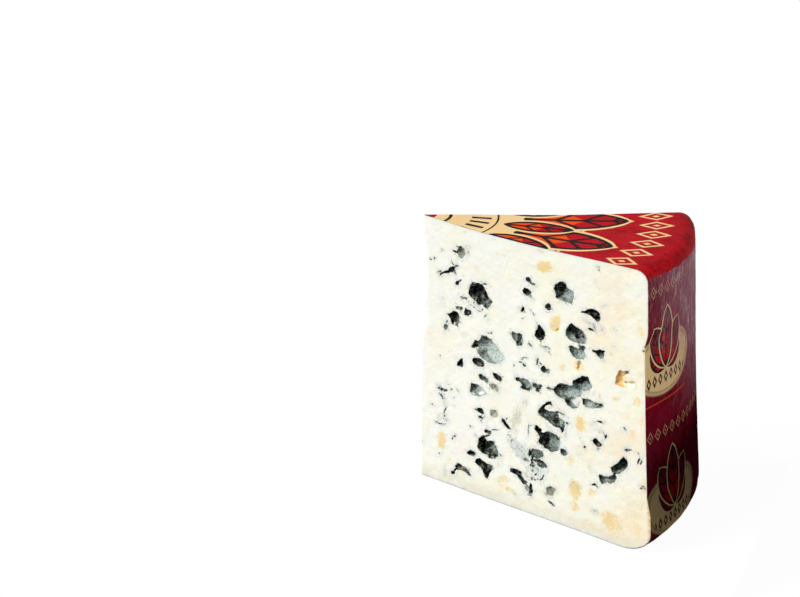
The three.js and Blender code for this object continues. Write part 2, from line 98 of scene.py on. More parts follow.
# The smaller eyes of the front cut: distance from the tip, height, half length, half width, tilt
# in degrees from level, depth, and lining.
FRONT_EYES = (
    (17.3, 90.5, 2.0, 1.5, 80, 1.3, OLIVE),
    (13.2, 83.2, 1.8, 0.8, 38, 1.8, BLACK),
    (11.0, 81.6, 1.8, 0.5, 20, 1.4, DARK),
    (15.5, 78.4, 1.1, 0.6, 55, 1.6, BLACK),
    (20.4, 68.6, 1.4, 1.1, 0, 1.8, DARK),
    (25.4, 51.1, 2.4, 1.3, -4, 3.6, BLACK),
    (46.6, 87.0, 1.1, 0.8, 0, 1.6, DARK),
    (45.7, 82.5, 1.9, 1.1, -12, 3.0, BLACK),
    (55.0, 79.3, 1.1, 1.1, 0, 2.2, BLACK),
    (54.2, 56.3, 1.2, 1.2, 0, 1.8, DARK),
    (55.5, 56.2, 1.2, 1.0, 0, 1.2, GREY),
    (43.4, 49.4, 1.1, 0.8, 5, 1.8, BLACK),
    (51.5, 49.2, 2.0, 1.0, 0, 1.4, GREEN),
    (17.5, 48.5, 1.7, 1.2, 55, 2.4, BLACK),
    (34.0, 47.9, 2.0, 1.0, -18, 2.4, BLACK),
    (27.2, 45.8, 1.4, 1.0, -10, 2.0, DARK),
    (29.1, 45.2, 1.1, 1.0, 20, 1.6, MID),
    (27.0, 33.0, 1.5, 1.2, 0, 2.4, BLACK),
    (38.5, 31.0, 2.1, 0.7, -42, 2.0, BLACK),
    (30.5, 26.0, 1.5, 0.8, 6, 1.4, DARK),
    (23.6, 15.6, 1.8, 0.9, 8, 2.4, BLACK),
    (50.1, 9.5, 2.5, 0.7, 86, 2.6, BLACK),
    (54.2, 21.0, 2.1, 0.9, -8, 2.2, BLACK),
    (54.0, 19.9, 1.6, 0.8, 0, 1.6, GREEN),
    (63.8, 28.0, 1.7, 1.1, 0, 1.6, GREEN),
    (77.4, 35.7, 1.9, 1.3, -5, 2.6, BLACK),
    (58.0, 74.2, 1.9, 0.9, 60, 1.2, STRAW),
    (9.7, 16.2, 2.4, 1.6, 88, 1.0, STRAW),
    (68.7, 15.6, 2.4, 1.4, 88, 1.0, STRAW),
    (58.6, 11.6, 2.2, 1.5, 25, 1.0, OLIVE),
    (52.0, 23.6, 3.0, 1.7, 5, 1.0, GREEN),
    (68.8, 61.4, 1.4, 1.2, 70, 1.0, AMBER),
)

# The larger eyes of the front cut: depth, and the outline of the opening as pairs of distance
# from the tip and height, clockwise.
OUTLINED_EYES = (
    (6.5, (
        (20.4, 75.9), (21.1, 78.4), (22.2, 80.0), (24.2, 80.6), (26.8, 80.7), (28.2, 78.6),
        (29.4, 76.8), (31.2, 75.3), (30.4, 73.6), (28.8, 71.9), (27.0, 72.7), (25.0, 72.1),
        (23.9, 73.7), (22.0, 74.3)
    )),
    (4.0, (
        (10.8, 65.5), (12.4, 66.4), (14.0, 67.7), (15.5, 67.6), (16.4, 66.2), (16.5, 64.4),
        (15.9, 62.1), (14.7, 62.8), (13.6, 62.3), (12.6, 63.4), (12.2, 64.6)
    )),
    (3.2, (
        (22.0, 56.0), (22.9, 57.6), (23.6, 59.2), (25.4, 59.0), (26.4, 61.0), (28.5, 62.0),
        (32.4, 60.1), (34.6, 58.2), (36.8, 55.8), (36.2, 54.6), (33.0, 52.4), (29.8, 52.2),
        (26.4, 53.4), (24.0, 55.3)
    )),
    (4.8, (
        (57.0, 86.2), (57.3, 88.0), (59.0, 89.1), (60.6, 89.7), (61.9, 89.4), (62.4, 88.1),
        (65.0, 87.2), (65.4, 85.8), (64.8, 82.6), (61.6, 82.8), (58.0, 83.4), (58.0, 85.0)
    )),
    (4.2, (
        (68.8, 80.8), (70.4, 81.8), (71.4, 82.5), (73.2, 82.9), (75.2, 82.8), (76.2, 81.9),
        (76.3, 80.0), (75.8, 79.0), (74.8, 79.0), (73.4, 80.0), (71.6, 80.6)
    )),
    (4.4, (
        (62.6, 73.0), (63.7, 74.4), (64.7, 75.9), (66.4, 75.1), (68.4, 74.7), (70.4, 73.5),
        (71.4, 71.8), (70.9, 70.1), (68.6, 69.4), (66.0, 69.4), (64.2, 69.9), (63.1, 71.0)
    )),
    (2.6, (
        (64.1, 67.3), (65.5, 68.1), (66.8, 67.5), (68.0, 68.6), (70.3, 69.0), (70.5, 67.2),
        (71.5, 65.6), (70.6, 64.2), (68.2, 63.9), (66.4, 64.1), (64.9, 65.6)
    )),
    (5.0, (
        (49.7, 67.6), (50.1, 69.6), (51.1, 70.5), (51.6, 71.8), (52.8, 71.0), (54.0, 70.2),
        (54.3, 68.6), (53.8, 67.2), (52.6, 66.5), (50.8, 66.7)
    )),
    (2.8, (
        (74.1, 68.4), (75.4, 69.0), (76.8, 69.4), (78.4, 69.3), (78.7, 68.0), (78.5, 66.8),
        (77.4, 66.3), (76.2, 66.9), (75.0, 67.8)
    )),
    (2.2, (
        (39.8, 65.2), (40.4, 66.6), (42.0, 66.2), (43.4, 66.9), (44.5, 66.6), (44.5, 65.2),
        (45.2, 64.0), (44.6, 62.5), (43.3, 62.0), (42.2, 63.0), (40.6, 63.8)
    )),
    (3.4, (
        (58.4, 50.2), (60.0, 51.9), (61.0, 53.1), (62.8, 53.5), (65.2, 53.2), (67.4, 54.2),
        (70.4, 53.8), (70.6, 51.0), (68.6, 50.0), (67.0, 48.5), (64.6, 47.6), (60.4, 48.1),
        (59.0, 49.2)
    )),
    (3.6, (
        (66.5, 54.0), (66.9, 55.6), (68.6, 56.8), (70.4, 58.2), (72.6, 58.3), (73.7, 56.8),
        (74.3, 55.2), (73.5, 53.8), (71.4, 53.1), (69.4, 53.0)
    )),
    (3.0, (
        (63.4, 47.9), (65.4, 48.8), (66.6, 47.9), (67.6, 47.0), (69.2, 46.3), (67.4, 45.4),
        (65.4, 45.8), (64.2, 46.6)
    )),
    (1.8, (
        (70.6, 50.3), (72.2, 50.3), (74.2, 50.5), (76.6, 50.1), (78.2, 50.2), (79.1, 49.6),
        (78.6, 48.7), (76.8, 48.3), (74.6, 47.6), (72.4, 47.8), (71.4, 48.1)
    )),
    (1.8, (
        (44.1, 49.6), (45.4, 50.7), (47.6, 50.3), (49.2, 49.2), (49.6, 47.8), (48.2, 46.3),
        (46.2, 46.5), (44.3, 46.6), (45.0, 48.0)
    )),
    (2.2, (
        (21.9, 39.2), (22.3, 41.0), (22.4, 42.4), (24.4, 42.7), (27.0, 42.0), (28.4, 41.2),
        (29.8, 40.4), (28.2, 39.4), (26.6, 38.4), (24.2, 38.0), (22.7, 38.3)
    )),
    (4.6, (
        (52.3, 39.7), (53.0, 41.2), (54.2, 43.0), (55.9, 44.4), (57.8, 45.0), (58.8, 43.6),
        (60.6, 42.5), (61.2, 40.5), (63.8, 39.6), (63.9, 37.6), (63.3, 35.3), (61.6, 36.8),
        (60.2, 36.3), (56.4, 37.8), (54.0, 38.5)
    )),
    (5.6, (
        (50.7, 33.2), (52.0, 34.6), (53.4, 34.0), (54.8, 33.4), (57.4, 34.0), (59.6, 33.7),
        (61.6, 32.6), (62.4, 30.8), (62.1, 29.2), (61.0, 27.8), (59.6, 26.7), (58.0, 26.5),
        (56.0, 27.8), (54.2, 27.9), (52.8, 28.8), (53.6, 30.2), (52.9, 31.4)
    )),
    (5.0, (
        (26.2, 18.4), (26.5, 20.4), (26.4, 22.1), (28.8, 24.0), (30.4, 22.3), (31.9, 23.0),
        (33.5, 22.9), (34.4, 20.8), (35.7, 19.4), (35.4, 17.8), (34.2, 17.0), (32.6, 16.0),
        (31.5, 17.1), (28.4, 17.0)
    )),
    (3.8, (
        (25.2, 12.4), (25.7, 13.8), (27.4, 14.8), (28.8, 14.0), (31.8, 13.5), (33.7, 13.4),
        (32.9, 11.6), (31.8, 10.4), (31.6, 8.8), (31.0, 7.6), (29.9, 8.0), (29.3, 9.4),
        (28.0, 11.2), (26.6, 11.8)
    )),
    (2.0, (
        (15.9, 8.0), (17.4, 9.9), (19.0, 9.6), (20.8, 9.1), (22.2, 8.4), (23.6, 6.6), (22.4, 6.3),
        (20.6, 7.2), (18.8, 7.5), (17.0, 6.9)
    )),
    (2.8, (
        (41.0, 14.8), (42.4, 15.3), (44.4, 15.2), (45.8, 14.9), (46.0, 13.2), (45.2, 12.2),
        (43.6, 13.2), (41.2, 13.3)
    )),
    (2.6, (
        (44.4, 13.2), (46.0, 13.2), (46.9, 12.4), (48.6, 11.8), (47.8, 10.9), (46.8, 10.3),
        (45.6, 11.3), (44.6, 12.3)
    )),
    (3.2, (
        (83.6, 28.2), (84.6, 29.2), (86.4, 30.6), (87.4, 32.4), (88.6, 34.0), (90.1, 32.6),
        (90.6, 31.2), (89.8, 30.0), (88.6, 28.6), (87.0, 27.0), (85.4, 26.4), (84.1, 26.8)
    )),
    (2.2, (
        (78.8, 23.4), (79.2, 24.4), (80.8, 24.2), (82.4, 24.5), (83.7, 25.0), (84.6, 25.9),
        (85.8, 25.0), (85.0, 23.2), (83.5, 22.1), (82.3, 22.4), (81.4, 21.7), (80.4, 20.9),
        (79.3, 21.8)
    )),
    (1.6, (
        (83.6, 58.7), (83.9, 61.0), (84.6, 63.4), (85.4, 64.5), (88.4, 64.9), (89.2, 63.2),
        (90.8, 62.4), (91.6, 60.8), (91.0, 59.2), (88.4, 58.7), (86.0, 58.5)
    )),
)

# Painted tones of the walls of the larger eyes, as they look from the front right, above: partly the
# mould's own colours, partly painted shade where walls lie in shadow and painted light where floors
# are lit. Columns: distance from the tip, height, half length, half width, tilt, and tone. Each spot
# lies over the ones before it.
SHADE_AND_TONE_SPOTS = (
    (24.6, 77.4, 5.4, 4.2, -20, BLACK),
    (27.0, 75.0, 2.0, 2.0, -10, DARK),
    (29.7, 74.4, 1.2, 2.6, -8, GREEN),
    (29.6, 73.2, 0.9, 1.2, 0, MID),
    (30.6, 75.2, 0.6, 0.6, 0, DARK),
    (22.8, 79.8, 1.2, 0.5, 25, MID),
    (28.2, 80.9, 0.8, 0.4, 0, GREEN),
    (23.4, 75.2, 0.5, 0.7, 0, GREEN),
    (22.5, 75.2, 0.3, 0.7, -10, CRUMB),
    (24.0, 74.9, 0.18, 0.5, 0, CRUMB),
    (14.0, 65.0, 3.8, 3.4, 0, DARK),
    (13.2, 64.4, 1.7, 0.9, -40, BLACK),
    (15.8, 64.4, 0.8, 2.0, 0, GREEN),
    (14.3, 62.9, 0.3, 0.4, 0, CRUMB),
    (29.0, 57.0, 8.4, 5.4, 0, MID),
    (29.6, 59.4, 3.2, 1.6, 0, GREY),
    (33.2, 56.6, 3.9, 3.4, -25, PALE),
    (27.0, 55.2, 2.8, 1.5, -8, GREEN),
    (28.9, 55.0, 1.3, 0.6, -20, GREEN),
    (26.0, 56.2, 1.6, 0.7, 15, MID),
    (26.6, 54.9, 0.8, 0.5, 0, DARK),
    (29.2, 54.9, 0.5, 0.5, 0, DARK),
    (28.3, 61.0, 2.0, 0.45, -3, DARK),
    (26.6, 60.7, 0.7, 0.8, 30, MID),
    (24.2, 57.4, 1.0, 1.4, 0, DARK),
    (23.2, 57.2, 1.2, 1.6, -25, BLACK),
    (24.4, 58.8, 0.6, 0.4, 0, BLACK),
    (24.0, 55.4, 0.5, 0.5, 0, BLACK),
    (23.3, 55.3, 0.7, 0.35, -40, CRUMB),
    (61.4, 86.0, 5.2, 4.8, 0, MID),
    (63.3, 85.4, 1.7, 2.0, 0, GREY),
    (59.7, 87.9, 2.2, 2.2, 30, BLACK),
    (58.5, 85.6, 1.7, 2.6, -12, BLACK),
    (60.4, 85.2, 0.7, 1.4, -15, GREEN),
    (61.6, 88.5, 0.7, 1.0, 0, DARK),
    (72.8, 81.2, 4.4, 2.6, -10, BLACK),
    (67.0, 72.4, 5.4, 4.0, 0, GREEN),
    (64.8, 71.2, 1.9, 1.4, -10, MID),
    (67.0, 70.2, 2.6, 0.7, 0, MID),
    (70.6, 71.6, 1.0, 1.4, 0, MID),
    (66.2, 74.2, 2.6, 1.3, -18, BLACK),
    (68.6, 73.2, 2.4, 0.9, -25, BLACK),
    (67.7, 71.9, 1.1, 0.8, 0, BLACK),
    (64.4, 73.4, 0.9, 0.5, 20, BLACK),
    (68.2, 66.3, 4.4, 3.2, 0, MID),
    (69.9, 66.4, 1.4, 2.2, 0, GREY),
    (66.0, 66.4, 1.6, 1.3, -40, GREEN),
    (67.5, 67.0, 1.3, 0.25, -42, BLACK),
    (65.0, 66.0, 0.35, 1.3, 25, DARK),
    (70.1, 68.4, 0.3, 0.5, 0, DARK),
    (67.4, 68.4, 0.9, 0.4, -40, CRUMB),
    (52.0, 68.8, 3.2, 3.2, 0, BLACK),
    (76.2, 68.0, 2.8, 1.9, 0, DARK),
    (77.8, 67.2, 0.8, 0.9, 0, MID),
    (78.1, 69.1, 0.7, 0.4, 0, BLACK),
    (42.5, 64.6, 3.2, 2.8, 0, GREEN),
    (40.9, 65.2, 1.1, 1.2, 0, MID),
    (42.1, 64.6, 0.4, 1.0, 0, GREY),
    (44.8, 64.4, 0.4, 0.9, 0, GREY),
    (43.6, 65.4, 0.8, 1.5, -8, DARK),
    (43.4, 63.2, 1.3, 0.8, 0, DARK),
    (64.4, 50.8, 7.0, 3.8, 0, MID),
    (67.4, 52.2, 3.4, 2.0, 10, GREY),
    (68.4, 50.8, 2.0, 1.2, 0, GREY),
    (61.4, 49.7, 2.4, 1.4, 0, GREEN),
    (63.2, 51.9, 1.6, 1.2, 20, GREEN),
    (64.8, 48.8, 1.8, 0.8, 0, GREEN),
    (60.9, 52.1, 2.4, 0.75, 35, BLACK),
    (59.4, 50.4, 0.9, 0.6, 30, DARK),
    (63.0, 53.0, 0.9, 0.4, 0, DARK),
    (66.8, 46.4, 2.4, 0.9, 0, MID),
    (65.1, 47.1, 1.4, 1.0, -30, BLACK),
    (67.0, 45.8, 1.2, 0.4, 0, GREEN),
    (72.6, 55.0, 1.9, 1.9, 0, GREY),
    (69.8, 54.2, 2.4, 0.9, 0, GREY),
    (68.8, 55.6, 2.2, 0.9, 35, GREEN),
    (69.9, 56.7, 2.9, 0.95, 36, BLACK),
    (71.8, 57.7, 1.1, 0.7, 0, BLACK),
    (67.4, 55.6, 0.8, 0.5, 50, BLACK),
    (73.4, 56.8, 0.5, 0.6, 0, GREEN),
    (75.0, 49.2, 4.4, 1.7, 0, GREY),
    (76.9, 49.3, 1.6, 0.8, 0, GREEN),
    (72.9, 49.0, 0.5, 1.0, 0, MID),
    (71.2, 49.4, 0.7, 1.3, 10, BLACK),
    (72.0, 50.1, 0.4, 0.4, 0, BLACK),
    (78.4, 49.7, 0.6, 0.6, 0, DARK),
    (46.8, 48.6, 3.2, 2.5, 0, MID),
    (46.6, 49.9, 1.8, 0.8, 0, GREY),
    (46.2, 47.0, 2.0, 0.5, 5, DARK),
    (45.6, 48.4, 1.5, 0.4, -42, DARK),
    (48.2, 47.4, 1.0, 0.5, 60, DARK),
    (43.4, 49.4, 0.9, 0.7, 0, BLACK),
    (25.8, 40.4, 4.6, 2.8, 0, GREY),
    (27.4, 41.2, 2.0, 0.9, 0, PALE),
    (24.7, 40.4, 1.6, 1.0, 0, MID),
    (23.8, 41.8, 1.6, 0.9, 0, DARK),
    (22.8, 40.6, 0.6, 1.4, 0, DARK),
    (25.2, 39.1, 1.0, 0.3, 0, DARK),
    (27.2, 39.8, 1.5, 0.6, 24, CRUMB),
    (23.5, 38.7, 0.9, 0.35, 0, CRUMB),
    (26.6, 38.3, 0.6, 0.2, 20, MID),
    (28.4, 39.7, 1.3, 0.2, 28, MID),
    (58.0, 39.6, 6.4, 5.2, 0, GREEN),
    (54.4, 42.2, 2.6, 0.9, 55, DARK),
    (56.6, 44.4, 1.4, 0.4, 32, BLACK),
    (56.8, 41.2, 1.5, 0.6, 8, MID),
    (56.2, 39.2, 1.9, 1.2, 0, GREEN),
    (60.0, 38.4, 2.6, 1.5, -15, DARK),
    (60.2, 39.9, 0.9, 1.1, 0, BLACK),
    (58.4, 37.8, 2.0, 0.5, -25, GREEN),
    (62.9, 38.7, 1.1, 1.5, 0, MID),
    (62.9, 36.4, 0.5, 1.2, -15, BLACK),
    (61.6, 36.9, 1.2, 0.35, -8, BLACK),
    (59.6, 30.4, 4.2, 4.6, 0, MID),
    (61.9, 30.6, 0.7, 2.6, -12, GREY),
    (58.8, 27.8, 2.2, 1.4, 0, GREEN),
    (59.0, 32.4, 0.9, 1.6, 0, GREEN),
    (54.2, 31.4, 3.7, 3.8, 0, BLACK),
    (56.2, 29.0, 1.3, 1.6, 0, BLACK),
    (60.9, 32.8, 1.0, 0.3, -42, BLACK),
    (61.4, 31.9, 0.4, 0.6, 0, BLACK),
    (57.0, 27.8, 0.8, 0.6, -20, BLACK),
    (63.6, 28.2, 2.0, 1.5, 0, GREEN),
    (31.0, 20.0, 5.8, 4.8, 0, DARK),
    (27.9, 20.2, 1.9, 3.4, 0, BLACK),
    (28.9, 23.0, 1.2, 1.2, 0, BLACK),
    (33.6, 20.6, 1.7, 1.6, -30, GREEN),
    (34.2, 19.3, 1.3, 0.8, -20, MID),
    (33.0, 17.5, 1.8, 0.6, -6, BLACK),
    (34.6, 17.6, 0.7, 0.6, 0, BLACK),
    (33.3, 16.6, 0.8, 0.35, 10, OLIVE),
    (32.6, 16.9, 0.25, 0.25, 0, CRUMB),
    (29.4, 11.6, 4.6, 4.0, 0, BLACK),
    (32.2, 12.6, 1.5, 1.0, 10, GREEN),
    (33.2, 13.0, 0.6, 0.5, 0, MID),
    (29.8, 13.3, 1.1, 0.7, 0, DARK),
    (19.8, 8.2, 4.2, 1.9, -8, OLIVE),
    (18.2, 9.2, 1.0, 0.6, -10, DARK),
    (16.6, 7.9, 0.8, 1.0, 0, BLACK),
    (21.6, 7.7, 1.4, 0.5, -28, DARK),
    (23.0, 6.8, 0.7, 0.4, -20, BLACK),
    (45.0, 12.8, 4.6, 3.2, -25, BLACK),
    (44.8, 13.0, 0.9, 0.5, -30, DARK),
    (47.4, 11.6, 0.9, 0.4, 10, DARK),
    (87.2, 30.0, 4.6, 2.8, 45, TEAL),
    (88.4, 28.8, 1.4, 0.35, 45, GREEN),
    (82.2, 23.4, 4.2, 2.6, 10, GREEN),
    (79.5, 23.4, 0.8, 1.3, 0, DARK),
    (82.2, 22.9, 1.3, 0.6, 10, MID),
    (84.6, 25.4, 0.8, 0.5, 0, DARK),
    (84.5, 25.4, 0.2, 0.2, 0, CRUMB),
    (85.6, 61.6, 2.8, 4.2, 0, HONEY),
    (89.6, 60.6, 2.6, 2.2, 0, STRAW),
    (88.4, 59.8, 1.0, 1.2, 0, AMBER),
    (88.0, 60.9, 0.7, 0.35, 15, BROWN),
)

# Nicks and flecks too small for the CAD solid.
FRONT_FLECKS = (
    (3.5, 84.5, 0.6, 0.25, 10, 0.5, GREEN),
    (5.0, 85.2, 0.6, 0.4, 70, 0.8, DARK),
    (8.6, 89.1, 0.3, 0.25, 0, 0.5, DARK),
    (13.4, 85.2, 0.8, 0.3, -40, 0.7, DARK),
    (15.1, 84.7, 0.9, 0.3, 5, 0.6, GREEN),
    (14.5, 82.2, 0.8, 0.25, -80, 0.6, GREEN),
    (8.4, 80.3, 1.3, 0.25, 35, 0.5, DARK),
    (7.3, 80.9, 1.0, 0.15, 30, 0.4, GREEN),
    (16.8, 79.7, 0.7, 0.3, 45, 0.7, BLACK),
    (17.9, 81.2, 0.2, 0.2, 0, 0.4, GREY),
    (14.4, 90.0, 1.2, 0.25, -8, 0.5, DARK),
    (15.5, 92.0, 0.8, 0.25, 0, 0.4, OLIVE),
    (20.2, 92.6, 0.9, 0.2, 15, 0.3, OLIVE),
    (20.2, 91.0, 0.8, 0.25, 80, 0.4, OLIVE),
    (22.8, 80.3, 1.0, 0.4, 15, 1.0, GREEN),
    (27.9, 81.0, 0.9, 0.35, 0, 0.8, GREEN),
    (17.9, 73.5, 1.1, 0.5, 0, 0.9, MID),
    (19.5, 73.6, 0.5, 0.45, 0, 1.0, BLACK),
    (22.6, 75.0, 0.7, 0.3, -60, 0.8, DARK),
    (23.2, 74.4, 0.7, 0.3, 10, 0.8, BLACK),
    (23.1, 73.0, 0.35, 0.3, 0, 0.6, DARK),
    (27.0, 71.3, 0.4, 0.35, 0, 0.8, DARK),
    (20.6, 72.5, 0.4, 0.2, -20, 0.4, GREEN),
    (21.8, 71.6, 0.6, 0.18, -25, 0.4, GREEN),
    (23.1, 71.2, 0.4, 0.25, 0, 0.5, DARK),
    (25.2, 70.4, 1.3, 0.18, -8, 0.4, MID),
    (28.2, 69.2, 0.9, 0.2, 50, 0.4, MID),
    (29.4, 68.0, 0.6, 0.15, -40, 0.3, GREY),
    (15.7, 69.2, 1.0, 0.5, 20, 1.2, GREEN),
    (17.2, 69.3, 0.8, 0.6, 60, 1.2, GREEN),
    (19.4, 69.5, 0.8, 0.3, 82, 0.8, DARK),
    (19.2, 67.5, 0.8, 0.22, 5, 0.6, DARK),
    (14.4, 62.6, 1.4, 0.4, -8, 0.9, GREEN),
    (10.3, 60.9, 1.2, 0.9, 80, 0.9, GREEN),
    (10.9, 62.9, 1.0, 0.3, 70, 0.6, GREEN),
    (9.0, 71.0, 0.5, 0.3, 30, 0.3, GREY),
    (9.4, 68.4, 0.5, 0.25, 0, 0.3, GREY),
    (17.2, 63.8, 0.4, 0.2, 0, 0.3, GREY),
    (19.3, 59.4, 0.5, 0.15, 20, 0.3, OLIVE),
    (30.9, 63.4, 0.5, 0.3, 5, 0.8, BLACK),
    (29.6, 63.1, 0.5, 0.25, 20, 0.5, GREEN),
    (31.4, 61.4, 0.3, 0.2, 0, 0.4, GREEN),
    (28.1, 61.0, 1.7, 0.6, 2, 2.0, DARK),
    (36.3, 56.3, 0.7, 0.3, 10, 0.9, GREEN),
    (44.4, 75.5, 1.1, 0.6, 65, 1.6, BLACK),
    (45.2, 75.0, 0.5, 0.3, 70, 0.8, GREY),
    (44.5, 72.4, 0.5, 0.2, 0, 0.4, GREEN),
    (47.9, 76.2, 0.3, 0.3, 0, 0.4, GREEN),
    (49.0, 75.2, 0.7, 0.2, -55, 0.5, GREEN),
    (48.1, 86.1, 1.1, 0.4, -5, 0.8, GREEN),
    (47.5, 81.5, 0.9, 0.4, -40, 0.8, GREY),
    (43.0, 62.9, 1.2, 0.8, 0, 1.4, GREEN),
    (48.0, 63.8, 1.0, 0.4, -28, 0.7, GREEN),
    (45.7, 55.6, 1.0, 0.35, -25, 1.0, BLACK),
    (44.3, 56.2, 0.7, 0.2, 5, 0.4, DARK),
    (45.9, 58.3, 1.2, 0.14, 10, 0.3, GREY),
    (45.0, 57.6, 0.7, 0.12, 20, 0.3, GREY),
    (41.3, 54.2, 0.6, 0.2, 60, 0.3, OLIVE),
    (51.8, 71.0, 0.9, 0.8, 60, 2.6, BLACK),
    (50.5, 72.3, 0.6, 0.15, -40, 0.4, GREY),
    (53.5, 64.3, 0.4, 0.3, 0, 0.5, GREEN),
    (54.8, 64.6, 0.8, 0.35, 10, 0.6, MID),
    (56.1, 64.4, 0.4, 0.3, 70, 0.5, GREEN),
    (56.2, 63.1, 0.4, 0.3, 80, 0.5, GREEN),
    (56.8, 62.4, 0.3, 0.2, 0, 0.4, GREEN),
    (52.7, 66.0, 0.4, 0.2, 0, 0.4, GREY),
    (59.3, 71.8, 0.9, 0.7, 20, 0.9, AMBER),
    (67.6, 66.9, 1.2, 0.2, -35, 2.6, DARK),
    (69.6, 68.4, 1.2, 0.6, 0, 1.2, GREY),
    (70.0, 68.2, 0.4, 0.3, 0, 1.4, DARK),
    (72.8, 75.6, 1.2, 0.42, -5, 1.2, BLACK),
    (74.8, 75.3, 0.5, 0.15, 0, 0.3, GREY),
    (70.0, 81.2, 1.4, 0.3, 18, 1.2, BLACK),
    (74.8, 68.4, 1.1, 0.45, 8, 1.2, DARK),
    (78.1, 69.0, 0.8, 0.35, 20, 1.8, BLACK),
    (72.9, 69.1, 0.5, 0.25, 0, 0.3, GREY),
    (82.5, 72.2, 0.6, 0.22, 10, 0.3, MOSS),
    (83.2, 78.2, 0.9, 0.4, 0, 0.2, MOSS),
    (75.6, 90.8, 0.4, 0.25, 0, 0.4, OLIVE),
    (73.8, 92.5, 0.3, 0.3, 0, 0.3, MOSS),
    (75.1, 97.3, 0.5, 0.25, -30, 0.5, DARK),
    (77.9, 85.3, 0.6, 0.22, 18, 0.5, GREEN),
    (51.4, 58.5, 1.2, 0.35, 82, 0.6, GREEN),
    (51.2, 57.2, 0.5, 0.3, 0, 0.5, GREEN),
    (52.6, 58.1, 0.9, 0.2, -20, 0.4, GREEN),
    (56.2, 56.8, 0.35, 0.3, 0, 0.9, DARK),
    (57.2, 50.0, 1.4, 0.45, 0, 1.0, GREEN),
    (66.9, 46.4, 1.5, 0.6, -10, 1.4, GREEN),
    (67.3, 55.3, 1.1, 0.8, 45, 2.2, DARK),
    (78.4, 49.6, 0.9, 0.6, 0, 1.4, DARK),
    (73.6, 47.8, 1.2, 0.5, 0, 0.8, GREY),
    (51.9, 48.0, 0.9, 0.8, 0, 1.4, DARK),
    (50.0, 49.9, 0.6, 0.4, 0, 0.8, GREEN),
    (53.2, 49.8, 0.8, 0.4, 0, 0.8, MID),
    (46.4, 46.8, 1.9, 0.45, -3, 1.6, DARK),
    (45.4, 48.3, 1.7, 0.45, -40, 2.2, DARK),
    (48.4, 48.6, 1.2, 0.3, 75, 2.0, DARK),
    (36.5, 48.5, 0.5, 0.22, 0, 0.5, GREY),
    (28.5, 46.3, 0.6, 0.3, 10, 1.0, BLACK),
    (30.2, 46.0, 0.4, 0.2, 0, 0.5, GREEN),
    (25.3, 39.1, 1.4, 0.5, 0, 2.0, DARK),
    (32.3, 43.8, 1.4, 1.0, 0, 0.7, OLIVE),
    (33.6, 43.6, 1.3, 1.2, 0, 0.4, MOSS),
    (32.8, 33.7, 1.6, 1.3, 0, 0.6, MOSS),
    (33.6, 34.8, 0.6, 0.35, 0, 0.7, OLIVE),
    (7.9, 36.4, 0.7, 0.35, 10, 0.8, BLACK),
    (9.3, 36.3, 1.0, 0.5, 15, 0.9, BLACK),
    (11.0, 36.3, 0.8, 0.35, 30, 0.6, GREEN),
    (8.5, 37.2, 0.6, 0.2, 15, 0.4, GREEN),
    (8.2, 35.6, 0.5, 0.15, 0, 0.3, GREEN),
    (9.2, 34.1, 0.9, 0.4, -30, 0.9, BLACK),
    (9.8, 33.0, 0.6, 0.25, 25, 0.6, DARK),
    (10.6, 33.3, 0.4, 0.15, 30, 0.4, GREEN),
    (8.2, 34.6, 0.4, 0.2, 20, 0.5, DARK),
    (13.8, 37.6, 0.45, 0.35, 0, 0.7, BLACK),
    (12.3, 39.0, 0.6, 0.15, 30, 0.3, GREY),
    (16.5, 38.0, 0.7, 0.14, -40, 0.3, MID),
    (15.1, 34.7, 0.5, 0.25, 50, 0.3, MOSS),
    (14.8, 31.7, 0.4, 0.3, 0, 0.4, OLIVE),
    (4.9, 29.4, 0.6, 0.3, 0, 0.4, MID),
    (7.3, 26.8, 0.3, 0.25, 0, 0.3, MOSS),
    (8.2, 49.1, 0.45, 0.3, 80, 0.4, OLIVE),
    (16.2, 51.0, 0.3, 0.25, 0, 0.3, GREY),
    (11.4, 29.5, 1.0, 0.3, 62, 0.6, MID),
    (10.7, 28.0, 1.2, 0.3, 82, 0.6, MID),
    (10.8, 26.4, 0.6, 0.35, 60, 0.8, BLACK),
    (11.7, 25.0, 1.0, 0.25, 80, 0.4, GREY),
    (11.2, 23.4, 0.45, 0.3, 20, 0.6, BLACK),
    (10.0, 23.0, 1.4, 0.28, 12, 0.5, MID),
    (8.5, 22.8, 0.9, 0.25, -5, 0.5, DARK),
    (6.9, 23.0, 0.8, 0.2, 5, 0.4, GREEN),
    (9.2, 24.2, 0.4, 0.2, 10, 0.4, GREEN),
    (25.2, 32.9, 0.8, 0.3, 0, 0.6, GREEN),
    (27.3, 30.5, 1.0, 0.55, -10, 1.2, BLACK),
    (28.5, 30.8, 0.5, 0.2, 0, 0.4, GREEN),
    (27.5, 29.3, 0.5, 0.25, 70, 0.5, GREEN),
    (37.2, 32.0, 0.8, 0.6, 0, 1.4, BLACK),
    (38.7, 33.2, 0.5, 0.22, 60, 0.4, GREEN),
    (40.3, 29.9, 0.5, 0.2, -10, 0.4, GREEN),
    (34.0, 27.6, 1.7, 0.2, 15, 0.3, GREY),
    (40.2, 27.2, 0.8, 0.22, -10, 0.3, GREY),
    (30.0, 24.1, 1.9, 0.32, 28, 0.9, BLACK),
    (25.8, 22.9, 0.9, 0.3, -25, 0.6, DARK),
    (36.6, 18.5, 0.6, 0.35, -60, 0.5, GREEN),
    (33.2, 16.9, 1.6, 0.8, 10, 1.8, DARK),
    (22.2, 15.0, 0.8, 0.55, -10, 1.4, BLACK),
    (24.6, 14.8, 0.8, 0.35, 0, 0.7, GREEN),
    (17.9, 9.3, 0.9, 0.7, -20, 1.2, DARK),
    (16.1, 6.7, 1.1, 0.4, 62, 1.0, BLACK),
    (15.1, 5.2, 1.0, 0.6, 30, 1.2, BLACK),
    (22.7, 8.7, 0.4, 0.3, 0, 0.6, DARK),
